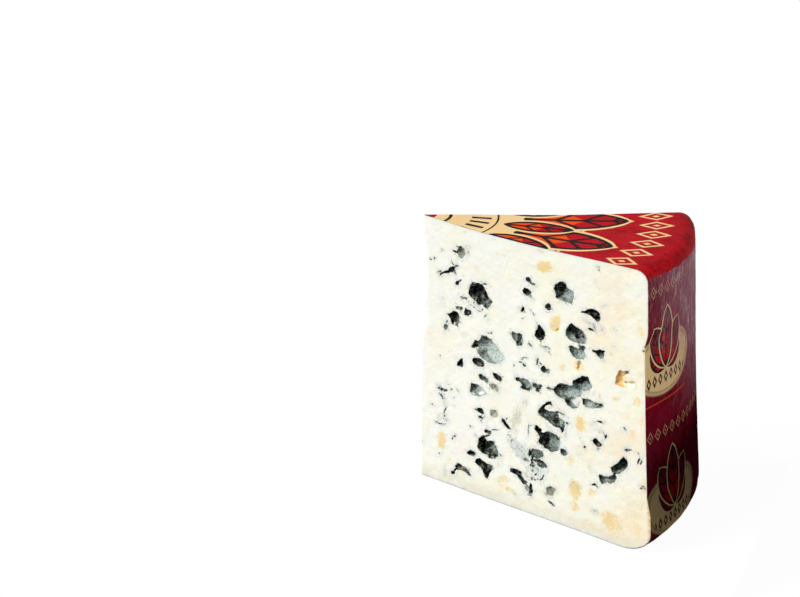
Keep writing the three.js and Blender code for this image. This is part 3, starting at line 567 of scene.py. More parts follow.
    (23.2, 6.6, 0.7, 0.35, -20, 0.8, DARK),
    (22.8, 25.9, 0.45, 0.4, 0, 0.6, DARK),
    (15.7, 19.9, 1.0, 0.4, 20, 1.0, BLACK),
    (14.8, 18.8, 0.8, 0.4, 70, 1.0, DARK),
    (11.3, 18.9, 0.5, 0.25, 20, 0.4, GREEN),
    (8.7, 11.1, 0.6, 0.45, 30, 0.8, BLACK),
    (8.1, 11.6, 0.4, 0.2, 0, 0.4, OLIVE),
    (0.9, 13.3, 0.6, 0.4, 0, 0.4, MID),
    (43.3, 5.3, 0.4, 0.25, 0, 0.4, OLIVE),
    (47.7, 20.1, 1.4, 0.4, -10, 0.8, OLIVE),
    (45.7, 24.4, 0.4, 0.3, 0, 0.4, MID),
    (44.6, 23.4, 0.5, 0.22, -20, 0.4, MID),
    (45.6, 22.7, 0.5, 0.22, 20, 0.4, MID),
    (46.8, 21.7, 0.3, 0.3, 0, 0.4, GREY),
    (41.2, 25.5, 0.6, 0.25, 80, 0.3, GREY),
    (49.1, 23.4, 1.7, 0.35, 88, 1.2, BLACK),
    (48.8, 22.6, 0.5, 0.4, 0, 1.0, BLACK),
    (50.6, 24.9, 0.9, 0.22, 12, 0.6, GREEN),
    (52.0, 25.1, 0.8, 0.4, 0, 0.8, DARK),
    (53.8, 24.2, 0.9, 0.3, -70, 0.6, GREEN),
    (52.3, 22.6, 0.8, 0.45, 20, 0.8, DARK),
    (51.3, 21.0, 0.9, 0.4, -10, 0.8, DARK),
    (50.2, 21.5, 2.0, 0.4, 85, 1.0, DARK),
    (50.4, 19.8, 0.6, 0.5, 0, 0.8, DARK),
    (49.8, 18.8, 0.7, 0.3, 80, 1.0, BLACK),
    (50.9, 18.7, 0.9, 0.5, 70, 0.7, GREEN),
    (50.6, 16.8, 0.6, 0.5, 0, 0.6, GREEN),
    (51.9, 15.6, 0.6, 0.3, 40, 0.7, DARK),
    (52.9, 14.2, 0.35, 0.25, 0, 0.6, BLACK),
    (54.3, 14.5, 0.7, 0.3, 30, 0.8, BLACK),
    (55.2, 15.8, 1.1, 0.28, 66, 0.9, BLACK),
    (50.4, 13.5, 0.8, 0.28, 88, 1.0, BLACK),
    (51.7, 13.5, 0.5, 0.35, 0, 0.5, GREEN),
    (56.3, 20.0, 0.5, 0.4, 0, 0.7, DARK),
    (48.6, 9.0, 1.3, 0.7, 88, 0.5, PALE),
    (49.6, 6.9, 0.9, 0.3, 10, 0.5, GREY),
    (58.7, 12.2, 1.1, 0.8, 0, 0.7, OLIVE),
    (60.6, 12.5, 0.6, 0.4, 0, 0.5, OLIVE),
    (58.2, 10.8, 0.6, 0.3, 20, 0.6, OLIVE),
    (59.7, 10.6, 0.5, 0.3, 70, 0.5, OLIVE),
    (56.8, 9.9, 1.0, 0.22, 5, 0.4, OLIVE),
    (56.8, 9.0, 0.6, 0.25, 0, 0.4, MOSS),
    (58.8, 6.9, 1.2, 0.35, -20, 0.9, BLACK),
    (60.0, 6.2, 0.7, 0.25, 0, 0.6, DARK),
    (56.7, 44.4, 1.5, 0.5, 28, 3.0, BLACK),
    (62.5, 42.1, 1.5, 0.25, -4, 0.9, BLACK),
    (60.6, 42.2, 1.1, 0.25, 68, 1.2, BLACK),
    (61.0, 43.3, 0.7, 0.18, 75, 0.5, DARK),
    (60.7, 41.0, 0.8, 0.5, 0, 2.4, BLACK),
    (63.1, 36.4, 1.3, 0.5, 75, 2.2, BLACK),
    (62.0, 36.9, 0.8, 0.5, 0, 1.8, BLACK),
    (65.0, 39.3, 0.9, 0.4, 10, 0.6, GREY),
    (52.0, 33.9, 0.9, 0.6, -40, 1.8, BLACK),
    (54.6, 28.8, 1.9, 0.9, -5, 3.0, BLACK),
    (60.7, 33.1, 1.1, 0.25, -40, 3.4, BLACK),
    (61.4, 31.9, 1.1, 0.4, 70, 3.8, BLACK),
    (48.4, 32.0, 2.0, 0.22, 88, 0.4, GREY),
    (49.2, 33.8, 0.9, 0.2, 5, 0.3, GREY),
    (56.0, 27.8, 1.1, 0.7, 0, 3.0, BLACK),
    (63.0, 27.4, 0.6, 0.4, 0, 1.4, DARK),
    (64.5, 28.5, 0.6, 0.4, 0, 1.4, DARK),
    (71.4, 34.6, 0.8, 0.25, -55, 0.5, GREEN),
    (72.7, 32.7, 0.6, 0.6, 0, 1.0, BLACK),
    (71.0, 29.3, 0.8, 0.28, -10, 0.4, OLIVE),
    (78.4, 43.7, 1.3, 0.34, 0, 1.0, BLACK),
    (76.4, 42.6, 1.2, 0.2, 50, 0.5, GREEN),
    (76.0, 41.0, 0.9, 0.25, -60, 0.5, GREEN),
    (79.6, 40.4, 0.45, 0.22, -10, 0.8, BLACK),
    (80.3, 39.9, 0.7, 0.2, -42, 0.8, DARK),
    (81.0, 39.0, 0.9, 0.4, 78, 1.2, BLACK),
    (80.8, 37.6, 0.9, 0.15, 68, 0.4, MID),
    (79.7, 36.7, 0.9, 0.15, 30, 0.4, GREY),
    (78.0, 33.6, 1.0, 0.5, 10, 0.4, MOSS),
    (76.5, 32.7, 0.4, 0.3, 0, 0.3, MOSS),
    (88.6, 44.0, 0.8, 0.35, -45, 0.5, OLIVE),
    (90.0, 36.7, 1.4, 0.4, 18, 0.9, DARK),
    (89.7, 36.1, 0.5, 0.4, 0, 0.9, DARK),
    (94.3, 36.7, 0.6, 0.3, 0, 0.4, BROWN),
    (94.6, 33.9, 1.1, 0.22, 75, 0.5, BROWN),
    (95.6, 33.7, 1.1, 0.22, 75, 0.5, BROWN),
    (76.9, 19.6, 0.9, 0.4, 25, 1.0, BLACK),
    (78.1, 19.4, 0.8, 0.2, -22, 0.5, DARK),
    (75.6, 25.0, 0.8, 0.25, 85, 0.3, MOSS),
    (77.6, 9.8, 0.9, 0.25, 15, 0.3, GREY),
    (84.9, 24.6, 1.6, 1.2, 60, 2.0, GREEN),
    (88.0, 60.8, 0.7, 0.4, 20, 2.4, BROWN),
    (96.1, 24.3, 0.6, 0.4, 0, 0.8, BROWN),
    (96.8, 25.3, 0.8, 0.35, 0, 0.7, BROWN),
    (97.5, 24.6, 0.6, 0.35, 0, 0.7, BROWN),
    (94.3, 73.5, 0.6, 0.4, 10, 0.6, BROWN),
    (95.0, 75.2, 0.7, 0.4, 60, 0.6, BROWN),
)

# Soft stains of the front cut: distance from the tip, height, half length, half width, tilt,
# strength, and tint.
BLUISH, MOSSY, STRAWY, PEACHY = range(4)
FRONT_STAINS = (
    (7.0, 87.6, 2.6, 0.7, 45, 0.5, BLUISH),
    (22.6, 72.9, 2.9, 1.6, -22, 1.0, BLUISH),
    (26.3, 71.8, 1.8, 0.8, 0, 0.5, BLUISH),
    (54.6, 64.5, 2.6, 1.2, 0, 0.9, BLUISH),
    (12.3, 52.3, 2.0, 1.1, -5, 0.6, BLUISH),
    (3.2, 45.6, 1.9, 1.2, 0, 0.4, BLUISH),
    (8.8, 70.0, 1.4, 2.0, 0, 0.35, BLUISH),
    (8.8, 34.8, 3.2, 2.4, 0, 0.55, BLUISH),
    (28.3, 30.6, 2.8, 2.2, 0, 0.55, BLUISH),
    (9.6, 25.2, 2.2, 1.9, 0, 0.6, BLUISH),
    (11.0, 3.6, 4.0, 1.0, 82, 0.8, BLUISH),
    (44.2, 24.8, 4.8, 2.4, -28, 0.6, BLUISH),
    (50.9, 22.0, 3.8, 3.8, 0, 0.8, BLUISH),
    (52.0, 16.2, 3.4, 3.0, 90, 0.7, BLUISH),
    (48.8, 9.2, 2.6, 1.3, 88, 0.7, BLUISH),
    (62.8, 29.6, 2.2, 1.6, 60, 0.4, BLUISH),
    (74.5, 98.2, 1.2, 0.9, 0, 0.8, BLUISH),
    (78.4, 40.4, 2.8, 2.0, 75, 0.5, BLUISH),
    (57.3, 43.0, 2.3, 1.2, 12, 0.6, BLUISH),
    (62.0, 35.8, 1.6, 1.0, 0, 0.6, BLUISH),
    (57.5, 35.6, 4.5, 1.5, -6, 0.5, BLUISH),
    (68.7, 48.0, 2.0, 1.7, 10, 0.7, BLUISH),
    (72.2, 52.2, 1.8, 0.8, 0, 0.4, BLUISH),
    (71.5, 77.8, 3.4, 1.6, -20, 0.6, BLUISH),
    (77.4, 9.9, 2.4, 1.5, 0, 0.4, BLUISH),
    (85.0, 28.2, 3.6, 3.0, 45, 0.35, BLUISH),
    (45.4, 38.6, 5.8, 2.1, 70, 0.65, MOSSY),
    (42.0, 32.0, 3.6, 2.6, 60, 0.7, MOSSY),
    (51.2, 98.3, 2.8, 1.1, 0, 0.8, MOSSY),
    (19.2, 97.9, 1.9, 1.2, 0, 0.9, MOSSY),
    (30.8, 98.0, 1.9, 0.5, 14, 1.0, MOSSY),
    (5.8, 99.6, 1.6, 0.5, 8, 0.9, MOSSY),
    (41.2, 20.8, 2.2, 0.9, 88, 0.5, MOSSY),
    (11.6, 40.9, 1.5, 1.2, 60, 0.5, MOSSY),
    (95.2, 75.0, 1.8, 0.9, 70, 0.7, MOSSY),
    (23.6, 86.2, 1.5, 1.0, 20, 0.6, MOSSY),
    (83.6, 55.8, 0.9, 0.7, 0, 0.8, MOSSY),
    (69.2, 8.6, 1.8, 1.4, 0, 0.55, STRAWY),
    (53.0, 93.0, 2.1, 1.2, 0, 1.6, STRAWY),
    (54.2, 94.2, 1.2, 0.7, 60, 0.8, STRAWY),
    (34.4, 93.4, 2.1, 0.8, -5, 0.9, PEACHY),
    (38.0, 95.6, 2.2, 0.6, 15, 0.4, STRAWY),
    (37.4, 91.6, 1.2, 0.6, 80, 0.4, STRAWY),
    (38.4, 87.4, 1.4, 0.6, 80, 0.4, STRAWY),
    (31.8, 86.5, 1.3, 0.6, 5, 0.6, PEACHY),
    (28.6, 95.3, 1.2, 0.6, 0, 0.5, PEACHY),
    (7.7, 97.3, 1.4, 0.8, 0, 0.6, PEACHY),
    (34.3, 76.6, 1.5, 1.3, 0, 0.5, PEACHY),
    (37.2, 77.9, 1.1, 0.5, 10, 0.4, STRAWY),
    (58.2, 74.4, 2.6, 1.2, 58, 0.9, STRAWY),
    (68.8, 61.0, 1.9, 1.6, 0, 1.4, PEACHY),
    (62.0, 59.3, 1.3, 1.3, 0, 0.9, STRAWY),
    (81.4, 69.0, 1.1, 0.9, 0, 0.8, PEACHY),
    (82.4, 78.0, 2.4, 1.2, 0, 0.5, STRAWY),
    (92.4, 80.6, 1.2, 0.9, 0, 0.4, PEACHY),
    (84.4, 53.6, 1.5, 1.2, 0, 0.7, STRAWY),
    (92.6, 55.0, 1.6, 1.3, 60, 0.9, PEACHY),
    (91.6, 42.9, 1.6, 1.2, 60, 0.7, STRAWY),
    (70.7, 40.6, 2.8, 2.3, 85, 1.1, PEACHY),
    (66.8, 25.8, 1.9, 1.4, 85, 0.9, PEACHY),
    (40.6, 46.0, 1.3, 0.9, 0, 0.6, PEACHY),
    (9.6, 16.4, 2.6, 1.6, 88, 1.5, STRAWY),
    (13.0, 9.6, 1.3, 1.0, 60, 0.6, STRAWY),
    (3.5, 56.2, 1.9, 1.0, 0, 0.5, PEACHY),
    (6.5, 60.0, 2.8, 1.8, 0, 0.35, PEACHY),
    (38.2, 10.0, 1.4, 0.8, 25, 1.5, PEACHY),
    (38.4, 9.4, 3.4, 2.2, 15, 0.6, PEACHY),
    (36.4, 7.6, 4.2, 0.7, -14, 0.8, STRAWY),
    (41.0, 6.6, 1.8, 0.8, 0, 0.6, STRAWY),
    (35.2, 13.8, 1.6, 1.2, 30, 0.5, PEACHY),
    (69.2, 14.8, 3.0, 1.9, 60, 0.9, STRAWY),
    (76.0, 16.4, 1.5, 1.3, 0, 0.9, PEACHY),
    (60.4, 17.6, 1.2, 0.8, 70, 0.5, PEACHY),
    (85.2, 8.9, 3.2, 2.3, -10, 0.6, STRAWY),
    (84.2, 7.4, 2.2, 0.8, -30, 1.0, STRAWY),
    (87.6, 6.2, 1.6, 0.8, 50, 1.1, PEACHY),
    (73.6, 4.2, 2.6, 1.4, 20, 0.6, STRAWY),
    (94.8, 48.2, 1.0, 0.9, 0, 0.6, PEACHY),
    (97.6, 27.4, 0.9, 1.4, 0, 1.2, PEACHY),
    (89.6, 60.6, 3.0, 2.0, 5, 0.9, STRAWY),
    (46.8, 41.6, 3.4, 1.6, 70, 0.5, MOSSY),
    (42.8, 35.5, 3.6, 1.5, 62, 0.6, MOSSY),
    (44.5, 22.0, 4.5, 1.7, -35, 0.5, BLUISH),
    (48.0, 14.5, 3.4, 2.2, 80, 0.5, BLUISH),
    (56.0, 17.5, 3.4, 1.6, 70, 0.45, BLUISH),
    (36.0, 15.4, 2.8, 1.2, 60, 0.35, MOSSY),
    (62.5, 25.4, 3.2, 1.1, 20, 0.45, BLUISH),
    (64.8, 36.0, 5.5, 1.1, 85, 0.4, BLUISH),
    (76.8, 77.0, 3.0, 1.4, -50, 0.4, BLUISH),
    (75.0, 54.0, 4.0, 1.0, 0, 0.3, BLUISH),
    (8.5, 37.5, 3.8, 2.0, 0, 0.45, BLUISH),
    (30.2, 28.2, 2.6, 1.3, 0, 0.45, BLUISH),
    (33.6, 30.6, 3.2, 1.4, 0, 0.3, BLUISH),
    (18.0, 70.8, 3.4, 1.7, 20, 0.55, BLUISH),
    (20.4, 66.4, 3.0, 1.6, 0, 0.35, BLUISH),
    (11.6, 61.4, 2.4, 2.0, 60, 0.45, BLUISH),
    (45.4, 73.4, 2.6, 2.8, 0, 0.3, BLUISH),
    (53.5, 60.6, 3.5, 1.6, 80, 0.3, BLUISH),
    (57.0, 46.8, 3.6, 1.0, 0, 0.4, BLUISH),
    (17.6, 91.0, 2.8, 2.2, 0, 0.45, MOSSY),
    (58.8, 11.2, 2.8, 2.4, 0, 0.5, MOSSY),
    (14.2, 83.8, 2.6, 1.4, 30, 0.5, BLUISH),
    (45.2, 56.6, 2.4, 1.6, 0, 0.4, BLUISH),
    (92.0, 86.0, 5.0, 8.0, 90, 0.25, PEACHY),
    # These two long rows warm and darken the foot of the cut and its lower right corner: partly stain,
    # partly painted shade.
    (30.0, 3.0, 12.0, 3.0, 2, 0.35, PEACHY),
    (90.0, 12.0, 9.0, 8.0, 0, 0.3, PEACHY),
    (44.6, 38.6, 5.2, 2.6, 68, 0.3, MOSSY),
    (52.6, 93.2, 1.8, 1.0, 12, 1.4, STRAWY),
    (83.8, 7.6, 1.8, 2.6, 20, 0.9, STRAWY),
    (84.8, 4.4, 1.0, 1.4, 0, 0.8, PEACHY),
    (68.8, 15.9, 1.3, 2.2, 12, 1.5, STRAWY),
    (58.1, 74.2, 1.2, 1.9, 0, 1.3, STRAWY),
    (70.6, 41.2, 1.4, 1.9, 0, 1.0, STRAWY),
    (9.6, 16.3, 1.4, 2.2, 0, 1.3, STRAWY),
    (42.0, 33.0, 3.4, 2.2, 80, 0.4, MOSSY),
    (41.8, 27.0, 3.0, 1.8, 85, 0.5, MOSSY),
    (43.5, 24.0, 4.2, 2.2, -30, 0.6, BLUISH),
    (47.0, 20.5, 3.6, 2.2, -20, 0.6, BLUISH),
    (53.5, 16.5, 3.6, 2.4, 70, 0.6, BLUISH),
    (36.5, 16.0, 4.4, 2.0, 35, 0.5, MOSSY),
    (33.0, 19.5, 2.6, 1.6, -30, 0.5, BLUISH),
    (58.6, 10.2, 3.0, 2.8, 0, 0.5, MOSSY),
    (58.4, 4.5, 2.6, 2.0, 60, 0.5, MOSSY),
    (45.5, 6.0, 2.6, 2.2, -40, 0.6, MOSSY),
    (38.0, 6.4, 5.0, 0.8, -4, 0.7, PEACHY),
    (66.5, 26.5, 2.6, 2.0, -50, 0.6, MOSSY),
    (63.5, 41.5, 1.4, 3.0, 0, 0.5, BLUISH),
    (76.5, 52.5, 3.0, 1.4, -10, 0.5, BLUISH),
    (35.0, 56.0, 1.6, 2.0, 0, 0.5, BLUISH),
    (11.0, 31.5, 2.4, 1.6, 70, 0.5, BLUISH),
    (10.5, 24.5, 2.8, 2.4, 0, 0.5, BLUISH),
    (11.5, 40.5, 1.2, 1.4, 0, 0.5, MOSSY),
    (24.5, 85.8, 0.9, 1.4, 0, 0.6, PEACHY),
    (75.8, 77.2, 2.6, 2.0, -35, 0.6, BLUISH),
    (77.5, 84.6, 1.8, 0.8, 10, 0.6, MOSSY),
    (58.2, 74.0, 1.8, 2.6, 0, 0.8, STRAWY),
    (70.7, 40.3, 1.9, 2.4, 0, 0.8, STRAWY),
    (69.0, 15.4, 2.0, 3.0, 12, 0.9, STRAWY),
    (84.5, 8.0, 3.8, 3.0, 25, 0.55, STRAWY),
    (52.8, 93.0, 2.6, 1.5, 15, 0.9, STRAWY),
    (92.6, 55.2, 1.3, 2.0, 0, 0.7, PEACHY),
    (11.6, 52.6, 2.2, 1.2, -15, 0.5, MOSSY),
    (95.3, 47.5, 1.0, 2.4, 0, 0.6, PEACHY),
    (93.0, 79.5, 1.3, 1.6, 0, 0.6, PEACHY),
    (94.6, 74.5, 0.9, 3.6, 0, 0.6, PEACHY),
    (68.8, 61.2, 2.2, 1.8, 0, 0.6, STRAWY),
    (75.0, 25.8, 1.3, 1.3, 0, 0.5, STRAWY),
    (76.5, 17.0, 1.6, 2.0, 0, 0.5, STRAWY),
    (69.0, 8.8, 1.6, 1.6, 0, 0.6, STRAWY),
    (77.8, 9.8, 2.4, 1.3, 0, 0.6, STRAWY),
    # The long rows low on the cut darken its foot: partly warm and mossy stain, partly painted shade of the
    # foot.
    (75.0, 3.0, 6.0, 2.4, 15, 0.55, PEACHY),
    (88.0, 2.5, 8.0, 2.2, 0, 0.6, PEACHY),
    (95.5, 8.0, 1.6, 6.0, 0, 0.5, PEACHY),
    (97.0, 22.0, 1.0, 5.0, 0, 0.7, PEACHY),
    (10.0, 5.5, 3.4, 3.0, 0, 0.5, MOSSY),
    (18.0, 3.0, 8.0, 2.0, -5, 0.4, MOSSY),
    (46.0, 1.5, 8.0, 2.0, 0, 0.4, MOSSY),
    (4.5, 3.0, 2.6, 2.0, 0, 0.4, MOSSY),
)

# Flakes of paste that stand in the eyes of the front cut: distance from the tip, height, half
# length, half width, tilt, and depth.
FLAKES = (
    (58.1, 42.7, 2.5, 1.0, 10, 4.0),
    (89.2, 62.6, 2.6, 1.1, 18, 4.0),
    (67.3, 68.3, 1.1, 0.5, -35, 3.0),
    (24.1, 55.2, 0.5, 0.9, 20, 2.0),
    (54.9, 33.2, 0.9, 0.45, 20, 2.5),
    (22.4, 75.2, 0.35, 0.7, -10, 2.0),
    (25.9, 72.3, 1.3, 0.35, 8, 2.0),
    (14.3, 62.8, 0.35, 0.5, 0, 2.0),
    (9.6, 16.2, 2.7, 1.8, 88, 2.0),
    (68.6, 15.6, 2.7, 1.6, 88, 2.2),
    (57.9, 74.2, 2.2, 1.1, 60, 3.0),
)

# The back cut's eyes, drawn as the CAD source draws them.
BACK_EYE_COUNT = 34
BACK_EYE_SEED = 41
BACK_ALONG = (9, 86)
BACK_HEIGHT = (8, 93)
BACK_HALF_LENGTHS = (1.2, 5.4)
BACK_SPACING = 1.7
BACK_EYE_LININGS = (BLACK, GREY, GREEN, BLACK, GREY, GREEN, OLIVE, BLACK, AMBER)

# The back cut's flecks and stains, which the CAD solid hasn't.
BACK_FLECK_COUNT = 110
BACK_FLECK_SEED = 77
BACK_FLECK_LININGS = (BLACK, GREEN, DARK, GREY, MOSS)
BACK_STAIN_COUNT = 40
BACK_STAIN_SEED = 19

# The form of an eye.
EYE_FLATS = 9
EYE_NEAREST_FLAT = 0.7
EYE_REACH = 1.12
EYE_SINK = 0.3
EYE_SWELL = 1.08
BALL_SIZES = (0.6, 1.3, 3.3)  # half lengths above which an eye's ball is made finer
ROUGH_COARSE = 0.5
ROUGH_FINE = 0.38
WALL_POWER = 2.6  # how square an outlined eye's section is: 2 is an ellipse
WALL_STEP = 0.45
MOUTH = 1.2  # how far the hole reaches past the cut, for a clean opening
FIRST_SEEDS = {"eye": 100, "back_eye": 500, "fleck": 1000, "back_fleck": 2000, "flake": 3000}

# Linear colours of the linings; BLACK and DARK are partly painted shade, near black where the walls lie
# deep or in shadow.
LINING_AND_SHADE_COLORS = {
    BLACK: (0.007, 0.006, 0.004),
    DARK: (0.026, 0.030, 0.021),
    GREEN: (0.096, 0.124, 0.100),
    MID: (0.25, 0.31, 0.275),
    GREY: (0.36, 0.43, 0.41),
    PALE: (0.56, 0.64, 0.61),
    MOSS: (0.50, 0.49, 0.34),
    OLIVE: (0.24, 0.23, 0.135),
    TEAL: (0.012, 0.034, 0.028),
    BROWN: (0.24, 0.125, 0.055),
    HONEY: (0.78, 0.52, 0.19),
    AMBER: (0.96, 0.77, 0.46),
    STRAW: (1.0, 0.93, 0.75),
    CRUMB: (0.93, 0.95, 0.88),
}

# How the eyes and stains are laid on the paste, in millimetres.
FAR = 99.0
HALO_REACH = 9.0  # how far round an eye the distance to it is kept
TONE_BLEND = 0.35
SPOT_SOFT = 0.22
FLAKE_EDGE = (0.1, 0.35)  # where a flake's clean paste gives way to the wall
FLAKE_DEPTH = (1.2, 3.0)  # where the wall turns mouldy again below a flake
SEEN_SHIFT = (0.73, 0.52)  # how far right and up a point shows for each millimetre of its depth
STAIN_FALL = 0.9  # how fast a stain fades away from its middle


# ---------------------------------------------------------------- numbers and lines


def seeded_random(seed):
    """A repeatable stream of numbers from 0 to 1, the same as the CAD source's."""
    state = seed
    while True:
        state = (state * 1664525 + 1013904223) % 4294967296
        yield state / 4294967296


def between(random, low, high):
    """The next number of a stream, spread from low to high."""
    return low + (high - low) * next(random)


def smoothstep(value, low, high):
    share = np.clip((np.asarray(value, float) - low) / (high - low), 0, 1)
    return share * share * (3 - 2 * share)


def bump_height(points, size, seed):
    """Smooth noise from -1 to 1 at points, for lumps of about a size in millimetres."""
    shift = Vector((seed * 17.3, seed * 5.1, seed * 9.7))
    return np.array([noise.noise(Vector(p) / size + shift) for p in points])


def lengths_along(points):
    """Distances along a line from its first point to each of its points."""
    return np.concatenate([[0], np.cumsum(np.hypot(*np.diff(points, axis=0).T))])


def even_points(points, count, endpoint):
    """Points at even steps along a line."""
    lengths = lengths_along(points)
    even = np.linspace(0, lengths[-1], count, endpoint=endpoint)
    return np.column_stack([np.interp(even, lengths, points[:, k]) for k in (0, 1)])


def line_run(points):
    """The direction of a line at each of its points."""
    run = np.gradient(points, axis=0)
    return run / np.hypot(*run.T)[:, None]


# ---------------------------------------------------------------- the wheel's form


def rim_radius(height):
    level = height / WHEEL_HEIGHT
    return WHEEL_RADIUS + RIM_TAPER * (0.5 - level) - RIM_HOLLOW * math.sin(math.pi * level) ** 2


def top_drop(x, y, height):
    """How far the wheel's dished top lowers points that would lie at a height."""
    radius = np.hypot(x, y)
    back = np.clip((1 + np.arctan2(y, x) / HALF_ANGLE) / 2, 0, 1)
    depth = DISH_DEPTHS[0] + (DISH_DEPTHS[1] - DISH_DEPTHS[0]) * back
    dish = DISH_AT_TIP + (depth - DISH_AT_TIP) * smoothstep(radius, 0, DISH_RADII[0])
    dish *= 1 - smoothstep(radius, *DISH_RADII[1:])
    return dish * (height / WHEEL_HEIGHT) ** 4


def rim_dent(x, y, height):
    """How far the rim is pressed in next to the front cut."""
    low, low_end, high, high_end = RIM_DENT_HEIGHTS
    up = smoothstep(height, low, low_end) * (1 - smoothstep(height, high, high_end))
    front = smoothstep(-np.arctan2(y, x) / HALF_ANGLE, *RIM_DENT_TURNS)
    return RIM_DENT_DEPTH * up * front * smoothstep(np.hypot(x, y), *RIM_DENT_RADII)


def settle(vertices):
    """The wheel's own dents: its dished top and the pressed-in rim."""
    x, y, height = vertices.T
    radius = np.hypot(x, y)
    share = 1 - rim_dent(x, y, height) / np.maximum(radius, 1)
    return np.column_stack([x * share, y * share, height - top_drop(x, y, height)])


def wheel_outline(step, start=0.0):
    """Half of the wheel's section from the base round the rim to the top, (radius, height) rows."""
    base_across, base_high = BASE_SHOULDER
    top_across, top_high = TOP_SHOULDER
    rim_top = WHEEL_HEIGHT - top_high
    base_edge = rim_radius(base_high) - base_across
    top_edge = rim_radius(rim_top) - top_across
    quarter = [math.pi / 2 * k / 60 for k in range(61)]
    rim = [base_high + (rim_top - base_high) * k / 100 for k in range(1, 100)]
    points = [(start, 0.0)]
    points += [(base_edge + base_across * math.sin(a), base_high * (1 - math.cos(a))) for a in quarter]
    points += [(rim_radius(h), h) for h in rim]
    points += [(top_edge + top_across * math.cos(a), rim_top + top_high * math.sin(a)) for a in quarter]
    points += [(r, WHEEL_HEIGHT) for r in np.linspace(top_edge, start, 80)[1:]]
    points = np.array(points)
    count = max(2, round(lengths_along(points)[-1] / step)) + 1
    return even_points(points, count, endpoint=True)


def inset_outline(outline, inset):
    """The outline moved inwards, square to itself."""
    run = line_run(outline)
    return outline + np.column_stack([-run[:, 1], run[:, 0]]) * inset


def tip_setback(height):
    chips = sum(depth * np.exp(-(((height - at) / spread) ** 2)) for at, spread, depth in TIP_CHIPS)
    return TIP_SETBACK + chips


def cut_wave(along, height):
    return CUT_WAVE * np.sin(along / 17 + 0.6) * np.sin(height / 14 + along / 40)


# ---------------------------------------------------------------- meshes and booleans


def mesh_object(name, vertices, faces):
    mesh = bpy.data.meshes.new(name)
    mesh.from_pydata([tuple(v) for v in np.asarray(vertices, float)], [], [tuple(f) for f in faces])
    mesh.update()
    thing = bpy.data.objects.new(name, mesh)
    bpy.context.scene.collection.objects.link(thing)
    return thing


def vertex_array(thing):
    flat = np.empty(len(thing.data.vertices) * 3)
    thing.data.vertices.foreach_get("co", flat)
    return flat.reshape(-1, 3)


def set_vertices(piece, points):
    piece.data.vertices.foreach_set("co", np.asarray(points, float).ravel())
    piece.data.update()


def set_attribute(piece, name, values):
    """A number for each vertex, which the material reads by name."""
    attribute = piece.data.attributes.new(name, "FLOAT", "POINT")
    attribute.data.foreach_set("value", np.asarray(values, np.float32))


def set_color_attribute(piece, name, colors):
    """Four numbers for each vertex, which the material reads by name."""
    attribute = piece.data.attributes.new(name, "FLOAT_COLOR", "POINT")
    attribute.data.foreach_set("color", np.asarray(colors, np.float32).ravel())


def boolean(target, tool, operation):
    """Cuts or joins target with tool, an object or a collection, and removes tool."""
    modifier = target.modifiers.new("cut", "BOOLEAN")
    modifier.operation = operation
    modifier.solver = "MANIFOLD"
    if isinstance(tool, bpy.types.Collection):
        modifier.operand_type = "COLLECTION"
        modifier.collection = tool
    else:
        modifier.object = tool
    bpy.context.view_layer.update()
    graph = bpy.context.evaluated_depsgraph_get()
    result = bpy.data.meshes.new_from_object(target.evaluated_get(graph))
    target.modifiers.clear()
    target.data = result
    for used in list(tool.objects) if isinstance(tool, bpy.types.Collection) else [tool]:
        bpy.data.objects.remove(used)


def joined(things):
    """One closed mesh out of closed meshes that may overlap."""
    group = bpy.data.collections.new("group")
    bpy.context.scene.collection.children.link(group)
    for thing in things[1:]:
        bpy.context.scene.collection.objects.unlink(thing)
        group.objects.link(thing)
    boolean(things[0], group, "UNION")
    bpy.data.collections.remove(group)
    return things[0]


def wheel_object(inset, segments, step):
    """The whole wheel, closed, in millimetres round its own axis."""
    outline = inset_outline(wheel_outline(step), inset)
    outline[0] = (0, inset)
    outline[-1] = (0, outline[-2][1])
    rings = outline[1:-1]
    turns = np.linspace(0, 2 * math.pi, segments, endpoint=False)
    circle = np.column_stack([np.cos(turns), np.sin(turns)])
    vertices = [np.column_stack([circle * r, np.full(segments, z)]) for r, z in rings]
    vertices = np.vstack(vertices + [[(0, 0, outline[0][1]), (0, 0, outline[-1][1])]])
    vertices = settle(vertices)
    faces = []
    for first in range(0, (len(rings) - 1) * segments, segments):
        for j in range(segments):
            k = (j + 1) % segments
            faces.append((first + j, first + k, first + segments + k, first + segments + j))
    low, high = len(vertices) - 2, len(vertices) - 1
    last = (len(rings) - 1) * segments
    for j in range(segments):
        k = (j + 1) % segments
        faces.append((low, k, j))
        faces.append((high, last + j, last + k))
    return mesh_object("wheel", vertices, faces)


def cut_grid(side, steps_along, steps_up, past=4.0):
    """Points of one cut, from the tip outwards and from below the base to above the top."""
    heights = np.linspace(-past, WHEEL_HEIGHT + past, steps_up + 1)
    share = np.linspace(0, 1, steps_along + 1)
    reach = WHEEL_RADIUS + RIM_TAPER + past
    start = tip_setback(heights)[None, :]
    along = start + (reach - start) * share[:, None]
    height = np.broadcast_to(heights, along.shape)
    across = along * math.sin(HALF_ANGLE) + cut_wave(along, height) * np.minimum(1, along / 10)
    return np.stack([along * math.cos(HALF_ANGLE), side * across, height], axis=-1)


